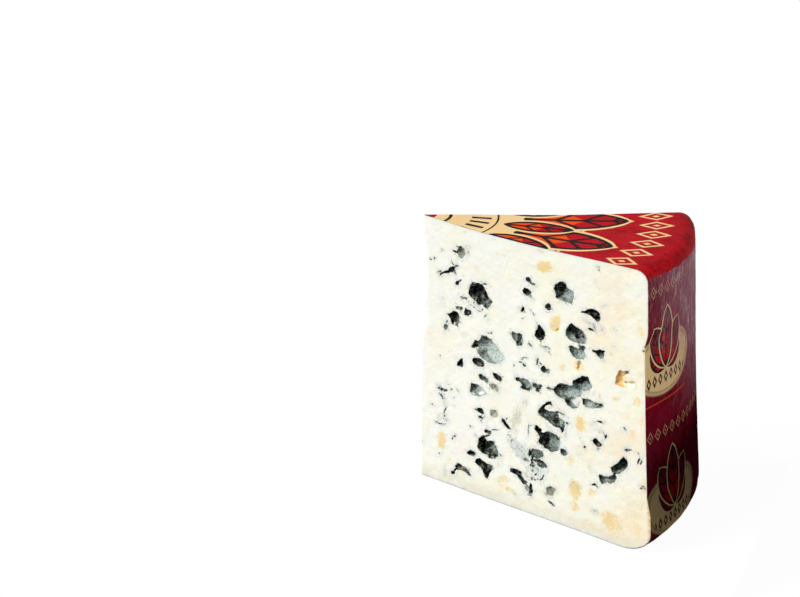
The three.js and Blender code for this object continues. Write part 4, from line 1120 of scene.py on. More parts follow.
def wedge_space(front_steps, back_steps, steps_up):
    """The closed space between the two cuts. The cuts have grids of their own fineness."""
    front = cut_grid(FRONT, front_steps, steps_up)
    back = cut_grid(BACK, back_steps, steps_up)
    vertices = np.vstack([front.reshape(-1, 3), back.reshape(-1, 3)])
    rows = steps_up + 1
    first_back = front.shape[0] * rows
    faces = []
    for i in range(front_steps):
        for a in range(i * rows, i * rows + steps_up):
            faces.append((a, a + rows, a + rows + 1, a + 1))
    for i in range(back_steps):
        for a in range(first_back + i * rows, first_back + i * rows + steps_up):
            faces.append((a, a + 1, a + rows + 1, a + rows))
    last_front = front_steps * rows
    last_back = first_back + back_steps * rows
    for j in range(steps_up):
        faces.append((j, j + 1, first_back + j + 1, first_back + j))
        faces.append((last_front + j, last_back + j, last_back + j + 1, last_front + j + 1))
    front_low = [i * rows for i in range(front_steps + 1)]
    back_low = [first_back + i * rows for i in range(back_steps + 1)]
    faces.append(back_low + front_low[::-1])
    faces.append([v + steps_up for v in front_low] + [v + steps_up for v in back_low[::-1]])
    return mesh_object("wedge_space", vertices, faces)


# ---------------------------------------------------------------- the eyes


@functools.cache
def sphere(subdivisions):
    ball = bmesh.new()
    bmesh.ops.create_icosphere(ball, subdivisions=subdivisions, radius=1)
    directions = np.array([v.co.normalized() for v in ball.verts])
    faces = [[v.index for v in f.verts] for f in ball.faces]
    ball.free()
    return directions, faces


def wall_roughness(points):
    """How far an eye's wall stands back from its even form, in millimetres."""
    return ROUGH_COARSE * bump_height(points, 1.9, 3) + ROUGH_FINE * bump_height(points, 0.75, 4)


class Eye:
    """A hole in a cut: a rounded lump with a few flats, sunk into the paste."""

    def __init__(self, row, side, seed):
        along, height, half_length, half_width, tilt, depth, self.lining_and_shade = row
        self.size = half_length
        self.side = side
        self.draw_flats(seeded_random(seed))
        lump_depth = depth / (1 + EYE_SINK)
        scale = Matrix.Diagonal((half_length * EYE_SWELL, lump_depth, half_width * EYE_SWELL))
        turned = Matrix.Rotation(math.radians(side * tilt), 3, "Y") @ scale
        outwards = Vector((math.cos(HALF_ANGLE), side * math.sin(HALF_ANGLE), 0))
        inwards = Vector((math.sin(HALF_ANGLE), -side * math.cos(HALF_ANGLE), 0))
        basis = Matrix((-side * outwards, inwards, Vector((0, 0, 1)))).transposed()
        self.matrix = np.array(basis @ turned)
        self.inverse = np.linalg.inv(self.matrix)
        self.middle = np.array(outwards * along + inwards * EYE_SINK * lump_depth)
        self.middle[2] = height

    def draw_flats(self, random):
        """Draws the flats that cut the ball short."""
        normals = []
        distances = []
        for _ in range(EYE_FLATS):
            rise = 2 * next(random) - 1
            turn = 2 * math.pi * next(random)
            flat = math.sqrt(1 - rise * rise)
            normals.append((flat * math.cos(turn), flat * math.sin(turn), rise))
            distances.append(EYE_NEAREST_FLAT + (1 - EYE_NEAREST_FLAT) * next(random))
        self.normals = np.array(normals)
        self.distances = np.array(distances)

    def reach(self, directions):
        """How far the lump goes in unit directions of its own space."""
        facing = directions @ self.normals.T
        limits = np.where(facing > 0.05, self.distances / np.maximum(facing, 0.05), EYE_REACH)
        return np.minimum(EYE_REACH, limits.min(axis=1))

    def depth_of(self, points):
        """Distance outwards from the lump's skin, negative inside, along the line to its middle."""
        offset = points - self.middle
        local = offset @ self.inverse.T
        length = np.linalg.norm(local, axis=1) + 1e-9
        skin = self.reach(local / length[:, None])
        return np.linalg.norm(offset, axis=1) * (1 - skin / length)

    def lump(self):
        directions, faces = sphere(1 + sum(self.size > least for least in BALL_SIZES))
        offsets = directions * self.reach(directions)[:, None] @ self.matrix.T
        lengths = np.linalg.norm(offsets, axis=1)
        rough = wall_roughness(offsets + self.middle) * min(1.0, 0.8 * self.size)
        offsets *= (1 + rough / lengths)[:, None]
        return mesh_object("eye", offsets + self.middle, faces)


class OutlinedEye:
    """A larger hole in the front cut, with an outline of its own and steep walls."""

    def __init__(self, depth, outline):
        self.side = FRONT
        self.lining_and_shade = None
        self.depth = depth
        self.outline = np.array(outline)
        after = np.roll(self.outline, -1, axis=0)
        turn = self.outline[:, 0] * after[:, 1] - after[:, 0] * self.outline[:, 1]
        self.center = ((self.outline + after) * turn[:, None]).sum(axis=0) / (3 * turn.sum())
        self.middle = self.at(np.array([self.center]), np.zeros(1))[0]
        self.size = np.hypot(*(self.outline - self.center).T).max()

    @staticmethod
    def at(places, inwards):
        """Points of space from places on the cut and distances below it."""
        x = places[:, 0] * math.cos(HALF_ANGLE) + inwards * math.sin(HALF_ANGLE)
        y = inwards * math.cos(HALF_ANGLE) - places[:, 0] * math.sin(HALF_ANGLE)
        return np.column_stack([x, y, places[:, 1]])

    def reach(self, offsets):
        """How far the outline lies from the middle, towards each offset from it."""
        corners = self.outline - self.center
        corners = corners[np.argsort(np.arctan2(corners[:, 1], corners[:, 0]))]
        angles = np.arctan2(corners[:, 1], corners[:, 0])
        toward = np.arctan2(offsets[:, 1], offsets[:, 0])
        last = np.searchsorted(angles, toward) % len(angles)
        first = corners[last - 1]
        edge = corners[last] - first
        across = np.cos(toward) * edge[:, 1] - np.sin(toward) * edge[:, 0]
        return (first[:, 0] * edge[:, 1] - first[:, 1] * edge[:, 0]) / across

    def depth_of(self, points):
        """Distance outwards from the hole's skin, negative inside, along the line to its middle."""
        offsets = np.column_stack([cut_place(points, FRONT), points[:, 2]]) - self.center
        inwards = points[:, 0] * math.sin(HALF_ANGLE) + points[:, 1] * math.cos(HALF_ANGLE)
        wide = np.hypot(*offsets.T) / self.reach(offsets)
        deep = np.maximum(inwards, 0) / self.depth
        skin = (wide**WALL_POWER + deep**WALL_POWER) ** (1 / WALL_POWER)
        return np.hypot(np.hypot(*offsets.T), inwards) * (1 - 1 / np.maximum(skin, 1e-6))

    def ring(self):
        """The outline as points at even steps."""
        closed = np.vstack([self.outline, self.outline[:1]])
        count = max(24, round(lengths_along(closed)[-1] / WALL_STEP))
        return even_points(closed, count, endpoint=False)

    def section(self):
        """Rows of the hole's width, as a share of its outline, and of the depth of that width."""
        steps = max(7, round((self.depth + self.size) / WALL_STEP * 0.8))
        rows = [(1.0, -MOUTH)]
        for k in range(steps):
            turn = math.pi / 2 * k / steps
            wide = math.cos(turn) ** (2 / WALL_POWER)
            deep = self.depth * math.sin(turn) ** (2 / WALL_POWER)
            rows.append((wide, deep))
        return rows

    def lump(self):
        ring = self.ring()
        count = len(ring)
        rings = []
        for wide, deep in self.section():
            rings.append(self.at(self.center + (ring - self.center) * wide, np.full(count, deep)))
        ends = self.at(np.array([self.center, self.center]), np.array([-MOUTH, self.depth]))
        vertices = np.vstack(rings + [ends])
        offsets = vertices - self.middle
        lengths = np.linalg.norm(offsets, axis=1)
        vertices += offsets * (wall_roughness(vertices) / np.maximum(lengths, 0.5))[:, None]
        mouth = len(rings) * count
        faces = []
        for i in range(count):
            k = (i + 1) % count
            faces.append((mouth, k, i))
            for near in range(0, mouth - count, count):
                faces.append((near + i, near + k, near + count + k, near + count + i))
            faces.append((mouth + 1, mouth - count + i, mouth - count + k))
        return mesh_object("eye", vertices, faces)


def back_eye_rows():
    random = seeded_random(BACK_EYE_SEED)
    smallest, largest = BACK_HALF_LENGTHS
    rows = []
    while len(rows) < BACK_EYE_COUNT:
        share = len(rows) / (BACK_EYE_COUNT - 1)
        half_length = smallest + (largest - smallest) * (1 - share) ** 2
        along = between(random, *BACK_ALONG)
        height = between(random, *BACK_HEIGHT)
        half_width = half_length * between(random, 0.45, 0.85)
        tilt = between(random, -60, 60)
        depth = 1.2 + half_length * between(random, 0.5, 1.1)
        gaps = []
        for s, z, near_length, *_ in rows:
            room = BACK_SPACING * 0.5 * (near_length + half_length)
            gaps.append(math.hypot(s - along, z - height) - room)
        if all(gap >= 2 for gap in gaps):
            lining_and_shade = BACK_EYE_LININGS[len(rows) % len(BACK_EYE_LININGS)]
            rows.append((along, height, half_length, half_width, tilt, depth, lining_and_shade))
    return rows


def back_fleck_rows():
    """Small nicks scattered over the back cut, in the mix of the front cut's."""
    random = seeded_random(BACK_FLECK_SEED)
    rows = []
    for i in range(BACK_FLECK_COUNT):
        half_length = 0.4 + 0.9 * next(random) ** 2
        half_width = half_length * between(random, 0.25, 0.7)
        place = between(random, 5, 92), between(random, 4, 96)
        tilt = between(random, -90, 90)
        depth = between(random, 0.4, 1.0)
        lining_and_shade = BACK_FLECK_LININGS[i % len(BACK_FLECK_LININGS)]
        rows.append((*place, half_length, half_width, tilt, depth, lining_and_shade))
    return rows


def back_stain_rows():
    random = seeded_random(BACK_STAIN_SEED)
    rows = []
    for i in range(BACK_STAIN_COUNT):
        half_length = between(random, 1.2, 3.2)
        half_width = half_length * between(random, 0.4, 0.9)
        place = between(random, 6, 90), between(random, 5, 95)
        tilt = between(random, -90, 90)
        strength = between(random, 0.4, 1.0)
        rows.append((*place, half_length, half_width, tilt, strength, i % 4))
    return rows


def eyes_of(rows, side, kind):
    return [Eye(row, side, FIRST_SEEDS[kind] + i) for i, row in enumerate(rows)]


def all_eyes():
    eyes = eyes_of(FRONT_EYES, FRONT, "eye")
    eyes += [OutlinedEye(depth, outline) for depth, outline in OUTLINED_EYES]
    eyes += eyes_of(FRONT_FLECKS, FRONT, "fleck")
    eyes += eyes_of(back_eye_rows(), BACK, "back_eye")
    eyes += eyes_of(back_fleck_rows(), BACK, "back_fleck")
    return eyes


def all_flakes():
    return eyes_of([(*row, CRUMB) for row in FLAKES], FRONT, "flake")


# ---------------------------------------------------------------- the cheese

FRONT_GRID = 165
BACK_GRID = 110
CUT_GRID_UP = 165
FACE_RELIEF = 0.12
FACE_RELIEF_SIZES = (3.2, 1.1)
WELD = 0.002  # points nearer than this, in millimetres, become one


def weld(piece):
    """Merges points that all but meet, and drops the faces that this folds flat."""
    piece.data.calc_loop_triangles()
    faces = np.array([face.vertices for face in piece.data.loop_triangles])
    points = vertex_array(piece)
    _, kept, merged = np.unique(np.round(points / WELD), axis=0, return_index=True, return_inverse=True)
    faces = merged.ravel()[faces]
    faces = faces[(faces != np.roll(faces, 1, axis=1)).all(axis=1)]
    _, twin, uses = np.unique(np.sort(faces, axis=1), axis=0, return_inverse=True, return_counts=True)
    faces = faces[uses[twin.ravel()] == 1]
    mesh = bpy.data.meshes.new("welded")
    mesh.from_pydata(points[kept].tolist(), [], faces.tolist())
    mesh.update()
    piece.data = mesh


def part_labels(piece):
    """A number for each vertex, the same for all that hang together."""
    edges = np.empty(len(piece.data.edges) * 2, np.int64)
    piece.data.edges.foreach_get("vertices", edges)
    first, second = edges.reshape(-1, 2).T
    label = np.arange(len(piece.data.vertices))
    while True:
        least = np.minimum(label[first], label[second])
        lower = label.copy()
        np.minimum.at(lower, first, least)
        np.minimum.at(lower, second, least)
        lower = lower[lower]
        if np.array_equal(lower, label):
            return label
        label = lower


def keep_largest(piece):
    """Drops the crumbs that the eyes cut loose."""
    label = part_labels(piece)
    loose = np.flatnonzero(label != np.bincount(label).argmax())
    mesh = bmesh.new()
    mesh.from_mesh(piece.data)
    mesh.verts.ensure_lookup_table()
    bmesh.ops.delete(mesh, geom=[mesh.verts[i] for i in loose], context="VERTS")
    mesh.to_mesh(piece.data)
    mesh.free()


def cheese_piece(eyes):
    piece = wheel_object(PASTE_INSET, 180, 2.0)
    boolean(piece, wedge_space(FRONT_GRID, BACK_GRID, CUT_GRID_UP), "INTERSECT")
    holes = joined([eye.lump() for eye in eyes])
    flakes = joined([flake.lump() for flake in all_flakes()])
    boolean(holes, flakes, "DIFFERENCE")
    boolean(piece, holes, "DIFFERENCE")
    weld(piece)
    keep_largest(piece)
    piece.name = "cheese_paste"
    piece.data.name = "cheese_paste"
    return piece


def below_cut(points, side):
    """How far points lie below one of the cuts, less than 0 outside it."""
    along = points[:, 0] / math.cos(HALF_ANGLE)
    wave = cut_wave(along, points[:, 2]) * np.minimum(1, np.maximum(along, 0) / 10) * math.cos(HALF_ANGLE)
    return wave + points[:, 0] * math.sin(HALF_ANGLE) - side * points[:, 1] * math.cos(HALF_ANGLE)


def cut_place(points, side):
    """Distances from the tip along one of the cuts."""
    return points[:, 0] * math.cos(HALF_ANGLE) + side * points[:, 1] * math.sin(HALF_ANGLE)


def roughen(piece):
    """Gives both cuts the faint unevenness that the knife leaves."""
    coarse, fine = FACE_RELIEF_SIZES
    points = vertex_array(piece)
    for side in (FRONT, BACK):
        inwards = np.array((math.sin(HALF_ANGLE), -side * math.cos(HALF_ANGLE), 0))
        near = np.flatnonzero(np.abs(below_cut(points, side)) < 0.3)
        relief = bump_height(points[near], coarse, 5) + 0.6 * bump_height(points[near], fine, 6)
        points[near] += np.outer(FACE_RELIEF * (0.4 + relief), inwards)
    set_vertices(piece, points)


def place(piece):
    """From millimetres round the wheel's axis to metres in the part's frame."""
    set_vertices(piece, (vertex_array(piece) + (AXIS_X, 0, 0)) * MM)
    return piece


def in_ellipse(along, height, ellipse):
    """Where points lie in a tilted ellipse, as shares of its half length and half width."""
    s, z, half_length, half_width, tilt = ellipse
    turn = math.radians(tilt)
    a = (along - s) * math.cos(turn) + (height - z) * math.sin(turn)
    b = (height - z) * math.cos(turn) - (along - s) * math.sin(turn)
    return a / half_length, b / half_width


def stain_amounts(along, height, rows):
    """How strong each of the four tints is at points of a cut."""
    amounts = np.zeros((len(along), 4))
    for *ellipse, strength, tint in rows:
        a, b = in_ellipse(along, height, ellipse)
        amounts[:, tint] += strength * np.exp(-(a**2 + b**2) * STAIN_FALL)
    return amounts


def lay_tone(color, rows, share, tone):
    color[rows] += share[:, None] * (np.array(LINING_AND_SHADE_COLORS[tone]) - color[rows])


def paint_spots(points, front, below, color, mouldy):
    """Lays the tone spots, painted shade and light among them, over the linings of the front cut's eyes."""
    along = cut_place(points, FRONT) + SEEN_SHIFT[0] * np.maximum(below, 0)
    height = points[:, 2] + SEEN_SHIFT[1] * np.maximum(below, 0)
    for *ellipse, tone in SHADE_AND_TONE_SPOTS:
        s, z, half_length, half_width, _ = ellipse
        reach = max(half_length, half_width) + 1.5
        rows = np.flatnonzero(front & (np.hypot(along - s, height - z) < reach))
        a, b = in_ellipse(along[rows], height[rows], ellipse)
        distance = (np.hypot(a, b) - 1) * min(half_length, half_width)
        share = 1 - smoothstep(distance, -SPOT_SOFT, SPOT_SOFT)
        lay_tone(color, rows, share, tone)
        mouldy[rows] += share * ((tone not in CLEAN) - mouldy[rows])


def paint_flakes(points, front, below, gap, color, mouldy):
    """Makes clean paste of the eyes' walls where a flake stands, except deep down."""
    for flake in all_flakes():
        near = np.linalg.norm(points - flake.middle, axis=1) < HALO_REACH + flake.size
        rows = np.flatnonzero(front & near)
        distance = flake.depth_of(points[rows])
        gap[rows] = np.maximum(gap[rows], -distance)
        share = 1 - smoothstep(distance, *FLAKE_EDGE)
        share *= 1 - smoothstep(below[rows], *FLAKE_DEPTH)
        lay_tone(color, rows, share, CRUMB)
        mouldy[rows] *= 1 - share


def eye_linings(points, front, eyes):
    """The distance to the nearest eye, how mouldy the eyes are there, and their colour."""
    gap = np.full(len(points), FAR)
    total = np.full(len(points), 1e-9)
    mouldy = np.zeros(len(points))
    color = np.zeros((len(points), 3))
    for eye in eyes:
        near = np.linalg.norm(points - eye.middle, axis=1) < eye.size * 1.3 + HALO_REACH
        rows = np.flatnonzero(near & (front == (eye.side == FRONT)))
        distance = eye.depth_of(points[rows])
        gap[rows] = np.minimum(gap[rows], distance)
        if eye.lining_and_shade is None:
            continue
        weight = np.exp(-np.maximum(distance, -TONE_BLEND) / TONE_BLEND)
        total[rows] += weight
        mouldy[rows] += weight * (0 if eye.lining_and_shade in CLEAN else min(1.0, eye.size))
        color[rows] += np.outer(weight, LINING_AND_SHADE_COLORS[eye.lining_and_shade])
    return gap, mouldy / total, color / total[:, None]


def mark_paste(piece, eyes):
    """Tells the material how deep each vertex lies, how near an eye, and what stains it."""
    points = vertex_array(piece)
    below_front = below_cut(points, FRONT)
    below_back = below_cut(points, BACK)
    front = below_front < below_back
    gap, mouldy, color = eye_linings(points, front, eyes)
    paint_spots(points, front, below_front, color, mouldy)
    paint_flakes(points, front, below_front, gap, color, mouldy)
    stains = np.zeros((len(points), 4))
    for side, rows in ((FRONT, FRONT_STAINS), (BACK, back_stain_rows())):
        where = front == (side == FRONT)
        on = points[where]
        stains[where] = stain_amounts(cut_place(on, side), on[:, 2], rows)
    rim = np.array([rim_radius(z) for z in points[:, 2]])
    set_attribute(piece, "depth", np.where(front, below_front, below_back))
    set_attribute(piece, "gap", gap)
    set_attribute(piece, "mouldy", mouldy)
    set_attribute(piece, "rim_gap", rim - np.hypot(points[:, 0], points[:, 1]))
    set_color_attribute(piece, "lining_and_shade", np.column_stack([color, np.ones(len(points))]))
    set_color_attribute(piece, "stains", stains)


# ---------------------------------------------------------------- the foil

FOIL_STEP = 0.8
FOIL_COLUMNS = 96
LIFT_LEAST = 0.04
LIFT_MOST = 0.27


def sheet_faces(rows, columns):
    """Faces of two grids of points, the outer one first, and of the strip between their edges."""
    inner = rows * columns
    faces = []
    for i in range(rows - 1):
        for a in range(i * columns, (i + 1) * columns - 1):
            faces.append((a, a + 1, a + columns + 1, a + columns))
            faces.append((inner + a, inner + a + columns, inner + a + columns + 1, inner + a + 1))
    edge = list(range(columns))
    edge += [(i + 1) * columns - 1 for i in range(1, rows)]
    edge += [(rows - 1) * columns + j for j in range(columns - 2, -1, -1)]
    edge += [i * columns for i in range(rows - 2, 0, -1)]
    for a, b in zip(edge, edge[1:] + edge[:1]):
        faces.append((b, a, inner + a, inner + b))
    return faces


def foil_piece():
    """A thin sheet over the top, down the rim and under the base, with its inner face."""
    outline = wheel_outline(FOIL_STEP, TIP_SETBACK)
    rows = len(outline)
    columns = FOIL_COLUMNS + 1
    share = np.linspace(-1, 1, columns)
    run = line_run(outline)
    turn = share[None, :] * HALF_ANGLE
    radius = outline[:, :1]
    height = np.broadcast_to(outline[:, 1:], (rows, columns))
    lift = foil_lift(outline, share)

    def sheet(inset):
        r = radius + (lift - inset) * run[:, 1:]
        z = height - (lift - inset) * run[:, :1]
        points = settle(np.stack([r * np.cos(turn), r * np.sin(turn), z], axis=-1).reshape(-1, 3))
        points[:, 1] += (share * cut_wave(radius, height) * np.minimum(1, radius / 10)).ravel()
        return points

    vertices = np.vstack([sheet(0), sheet(FOIL_SHEET)])
    piece = mesh_object("foil_wrapper", vertices, sheet_faces(rows, columns))
    set_attribute(piece, "inner", np.repeat((0.0, 1.0), rows * columns))
    return piece


def ridge(where, size, seed):
    """Noise with sharp ridges, from about -1 to 1."""
    return 1 - 2.3 * abs(noise.noise(where / size + Vector((seed * 7.1, seed * 3.3, seed))))


def foil_lift(outline, share):
    """How far the foil stands off the cheese at each point: soft dents, creases and pleats."""
    lengths = lengths_along(outline)
    lift = np.zeros((len(outline), len(share)))
    top_high = WHEEL_HEIGHT - TOP_SHOULDER[1]
    for i, (radius, height) in enumerate(outline):
        on_rim = float(smoothstep(radius, 80, 92))
        near_top = math.exp(-(((height - top_high) / 7) ** 2)) * on_rim
        near_base = math.exp(-(((height - BASE_SHOULDER[1]) / 9) ** 2)) * on_rim
        high = float(smoothstep(height, 30, 75)) * on_rim
        for j, where in enumerate(share):
            across = where * HALF_ANGLE * max(radius, 1)
            at = Vector((lengths[i], across, 0))
            back = float(smoothstep(where, -0.5, 0.3))
            soft = 0.05 * noise.noise(at / 14)
            crease = 0.03 * ridge(at, 5, 1)
            pleat = 0.10 * (near_top + near_base) * ridge(Vector((lengths[i] / 4, across, 0)), 6, 2)
            fine = ridge(Vector((lengths[i] / 3.5, across, 0)), 2.1, 3)
            coarse = ridge(Vector((lengths[i] / 2.5, across, 0)), 4.5, 4)
            folds = (0.5 * fine + 0.5 * coarse) * high * (0.03 + 0.09 * back)
            lift[i, j] = soft + crease + pleat + folds
    settled = smoothstep(outline[:, 1], 0.0, 0.6)
    return np.clip(lift + LIFT_LEAST, 0, LIFT_MOST) * settled[:, None]


# ---------------------------------------------------------------- materials


class Graph:
    """Shader nodes written as maths. A wire is a socket, a number or a colour."""

    def __init__(self, name):
        self.material = bpy.data.materials.new(name)
        self.material.use_nodes = True
        self.tree = self.material.node_tree
        self.shader = self.tree.nodes["Principled BSDF"]

    def node(self, kind, output, inputs, **settings):
        made = self.tree.nodes.new(kind)
        for key, value in settings.items():
            setattr(made, key, value)
        for key, value in inputs.items():
            self.set(made.inputs[key], value)
        return made.outputs[output]

    def set(self, socket, value):
        if isinstance(value, bpy.types.NodeSocket):
            self.tree.links.new(value, socket)
        elif isinstance(value, (tuple, list)) and len(socket.default_value) == 4:
            socket.default_value = (*value[:3], 1)
        else:
            socket.default_value = value

    def math(self, operation, a, b=0.0, c=0.0):
        return self.node("ShaderNodeMath", 0, {0: a, 1: b, 2: c}, operation=operation)

    def add(self, a, b):
        return self.math("ADD", a, b)

    def subtract(self, a, b):
        return self.math("SUBTRACT", a, b)

    def multiply(self, a, b):
        return self.math("MULTIPLY", a, b)

    def most(self, a, b):
        return self.math("MAXIMUM", a, b)

    def least(self, a, b):
        return self.math("MINIMUM", a, b)

    def divide(self, a, b):
        return self.math("DIVIDE", a, b)

    def absolute(self, a):
        return self.math("ABSOLUTE", a)

    def axis(self, where, name):
        return self.node("ShaderNodeSeparateXYZ", name, {0: where})

    def smooth(self, value, low, high):
        """0 below low, 1 above high, smooth between. With low above high it falls instead."""
        first, last = (0.0, 1.0) if low < high else (1.0, 0.0)
        inputs = {"Value": value, "From Min": min(low, high), "From Max": max(low, high)}
        inputs.update({"To Min": first, "To Max": last})
        return self.node("ShaderNodeMapRange", 0, inputs, interpolation_type="SMOOTHSTEP")

    def mix(self, a, b, share):
        made = self.tree.nodes.new("ShaderNodeMix")
        made.data_type = "RGBA"
        self.set(made.inputs["Factor"], share)
        self.set(made.inputs[6], a)
        self.set(made.inputs[7], b)
        return made.outputs[2]

    def number(self, name):
        return self.node("ShaderNodeAttribute", "Fac", {}, attribute_name=name)

    def color(self, name):
        return self.node("ShaderNodeAttribute", "Color", {}, attribute_name=name)

    def channels(self, name):
        """The four numbers kept in a colour attribute."""
        made = self.tree.nodes.new("ShaderNodeAttribute")
        made.attribute_name = name
        split = self.tree.nodes.new("ShaderNodeSeparateColor")
        self.set(split.inputs[0], made.outputs["Color"])
        return *split.outputs[:3], made.outputs["Alpha"]

    def step(self, value, edge, below=False):
        """1 where value is past the edge, or short of it, with a slightly soft border."""
        apart = self.subtract(edge, value) if below else self.subtract(value, edge)
        return self.smooth(apart, -0.06, 0.06)

    def band(self, value, low, high):
        return self.multiply(self.step(value, low), self.step(value, high, True))

    def length(self, a, b):
        return self.math("SQRT", self.add(self.multiply(a, a), self.multiply(b, b)))

    def squash(self, where, scale):
        return self.node("ShaderNodeVectorMath", 0, {0: where, 1: scale}, operation="MULTIPLY")

    def place(self):
        """The point on the piece in millimetres."""
        where = self.node("ShaderNodeTexCoord", "Object", {})
        return self.node("ShaderNodeVectorMath", 0, {0: where, "Scale": 1 / MM}, operation="SCALE")

    def noise(self, where, size, detail=2.0, rough=0.5, seed=0.0):
        inputs = {"Vector": where, "W": seed, "Scale": 1 / size, "Detail": detail, "Roughness": rough}
        return self.node("ShaderNodeTexNoise", "Fac", inputs, noise_dimensions="4D")

    def bump(self, height, distance, strength=1.0):
        inputs = {"Height": height, "Distance": distance * MM, "Strength": strength}
        return self.node("ShaderNodeBump", "Normal", inputs)


PASTE_WHITE = (0.990, 0.980, 0.855)
PASTE_CREAM = (0.982, 0.940, 0.790)
PASTE_WARM = (0.965, 0.835, 0.660)
MILKY = (0.955, 0.970, 0.900)
BLUISH_TINT = (0.56, 0.63, 0.645)
MOSSY_TINT = (0.56, 0.56, 0.45)
STRAWY_TINT = (0.88, 0.67, 0.32)
PEACHY_TINT = (0.97, 0.74, 0.42)
RIND_TINT = (0.72, 0.42, 0.18)
FOOT_SHADE = (0.80, 0.78, 0.66)
VEIL = (0.70, 0.71, 0.60)
STAIN_SPECK = (0.13, 0.15, 0.135)
TUFT = (0.50, 0.58, 0.53)
PIT = (0.012, 0.013, 0.008)
BRIGHT_GRAIN = (0.52, 0.60, 0.55)
DARK_GRAIN = (0.014, 0.014, 0.009)
SMUDGE = (0.50, 0.56, 0.49)
DARK_SPECK = (0.11, 0.13, 0.12)


def paste_material():
    g = Graph("paste")
    where = g.place()
    depth = g.number("depth")
    gap = g.number("gap")
    mouldy = g.number("mouldy")
    lining_and_shade = g.color("lining_and_shade")
    tints = g.channels("stains")

    warm = g.smooth(g.noise(where, 16, 3, 0.55), 0.42, 0.66)
    paste = g.mix(PASTE_WHITE, PASTE_CREAM, warm)
    veil = g.smooth(g.noise(where, 1.0, 5, 0.78, 67), 0.58, 0.72)
    paste = g.mix(paste, VEIL, g.multiply(veil, 0.32))
    from_axis = g.subtract(g.axis(where, "X"), AXIS_X)
    rimward = g.multiply(g.smooth(from_axis, 34, 84), g.add(0.3, g.multiply(warm, 0.7)))
    paste = g.mix(paste, PASTE_WARM, rimward)
    paste = paste_stains(g, where, paste, tints)
    milky = g.noise(where, 2.8, 3, 0.6, 4)
    halo = g.multiply(g.smooth(gap, 2.6, 0.1), g.smooth(milky, 0.36, 0.62))
    paste = g.mix(paste, MILKY, g.multiply(g.multiply(halo, mouldy), 0.8))

    felt = g.noise(where, 0.75, 4, 0.75, 7)
    mould = mould_color(g, where, lining_and_shade, felt)
    lined = g.mix(lining_and_shade, mould, mouldy)
    ragged = g.multiply(g.subtract(g.noise(where, 0.7, 4, 0.75, 2), 0.5), 2.2)
    inside = g.smooth(g.add(depth, g.multiply(ragged, 0.45)), 0.04, 0.22)
    inside = g.multiply(inside, g.smooth(gap, 1.2, 0.7))
    edge = g.smooth(g.add(gap, ragged), 0.10, -0.16)
    share = g.most(inside, g.multiply(edge, mouldy))
    color = g.mix(paste, lined, share)
    color = mould_specks(g, where, color, gap, mouldy)

    matte = g.multiply(share, mouldy)
    g.set(g.shader.inputs["Base Color"], color)
    g.set(g.shader.inputs["Roughness"], g.add(0.40, g.multiply(matte, 0.4)))
    g.set(g.shader.inputs["Subsurface Weight"], g.multiply(g.subtract(1.0, matte), 0.75))
    g.shader.inputs["Subsurface Radius"].default_value = (1.0, 0.82, 0.55)
    g.shader.inputs["Subsurface Scale"].default_value = 0.9 * MM
    g.set(g.shader.inputs["Specular IOR Level"], g.multiply(g.subtract(1.0, matte), 0.40))
    grain = g.add(g.noise(where, 2.4, 4, 0.6, 23), g.multiply(felt, g.multiply(matte, 1.2)))
    g.set(g.shader.inputs["Normal"], g.bump(grain, 0.4, 0.6))
    return g.material


def paste_stains(g, where, paste, tints):
    """Soft stains with blotchy edges, painted shade along the foot of the cut, and the rind's tan line near
    the foot of the rim.
    """
    bluish, mossy, strawy, peachy = tints
    blotch = g.noise(where, 1.1, 4, 0.7, 31)
    soft = g.noise(where, 3.2, 5, 0.68, 71)
    fine = g.noise(where, 1.15, 5, 0.75, 37)

    def amount(tint, low, high, most, pattern=blotch):
        streaky = g.add(pattern, g.multiply(g.subtract(fine, 0.5), 0.9))
        broken = g.multiply(tint, g.add(0.35, g.multiply(g.smooth(streaky, 0.35, 0.65), 1.1)))
        return g.multiply(g.smooth(broken, low, high), most)

    paste = g.mix(paste, PEACHY_TINT, amount(peachy, 0.05, 0.95, 0.8))
    paste = g.mix(paste, STRAWY_TINT, amount(strawy, 0.05, 0.9, 0.9))
    paste = g.mix(paste, BLUISH_TINT, amount(bluish, 0.1, 1.1, 0.75, soft))
    paste = g.mix(paste, MOSSY_TINT, amount(mossy, 0.08, 1.6, 0.62, soft))
    grey = g.add(bluish, g.multiply(mossy, 0.25))
    specks = g.multiply(g.smooth(grey, 0.15, 0.7), g.smooth(g.add(fine, g.multiply(soft, 0.5)), 0.80, 0.92))
    paste = g.mix(paste, STAIN_SPECK, g.multiply(specks, 0.8))
    # Painted shade: the cut turns greyer and darker towards its foot, by the floor.
    foot = g.smooth(g.axis(where, "Z"), 8, 1)
    foot = g.multiply(foot, g.add(0.55, g.multiply(g.smooth(soft, 0.35, 0.62), 0.45)))
    paste = g.mix(paste, FOOT_SHADE, g.multiply(foot, 0.9))
    low = g.smooth(g.axis(where, "Z"), 36, 14)
    rind = g.multiply(g.smooth(g.number("rim_gap"), 1.9, 0.6), low)
    return g.mix(paste, RIND_TINT, g.multiply(rind, g.add(0.2, g.smooth(blotch, 0.35, 0.7))))


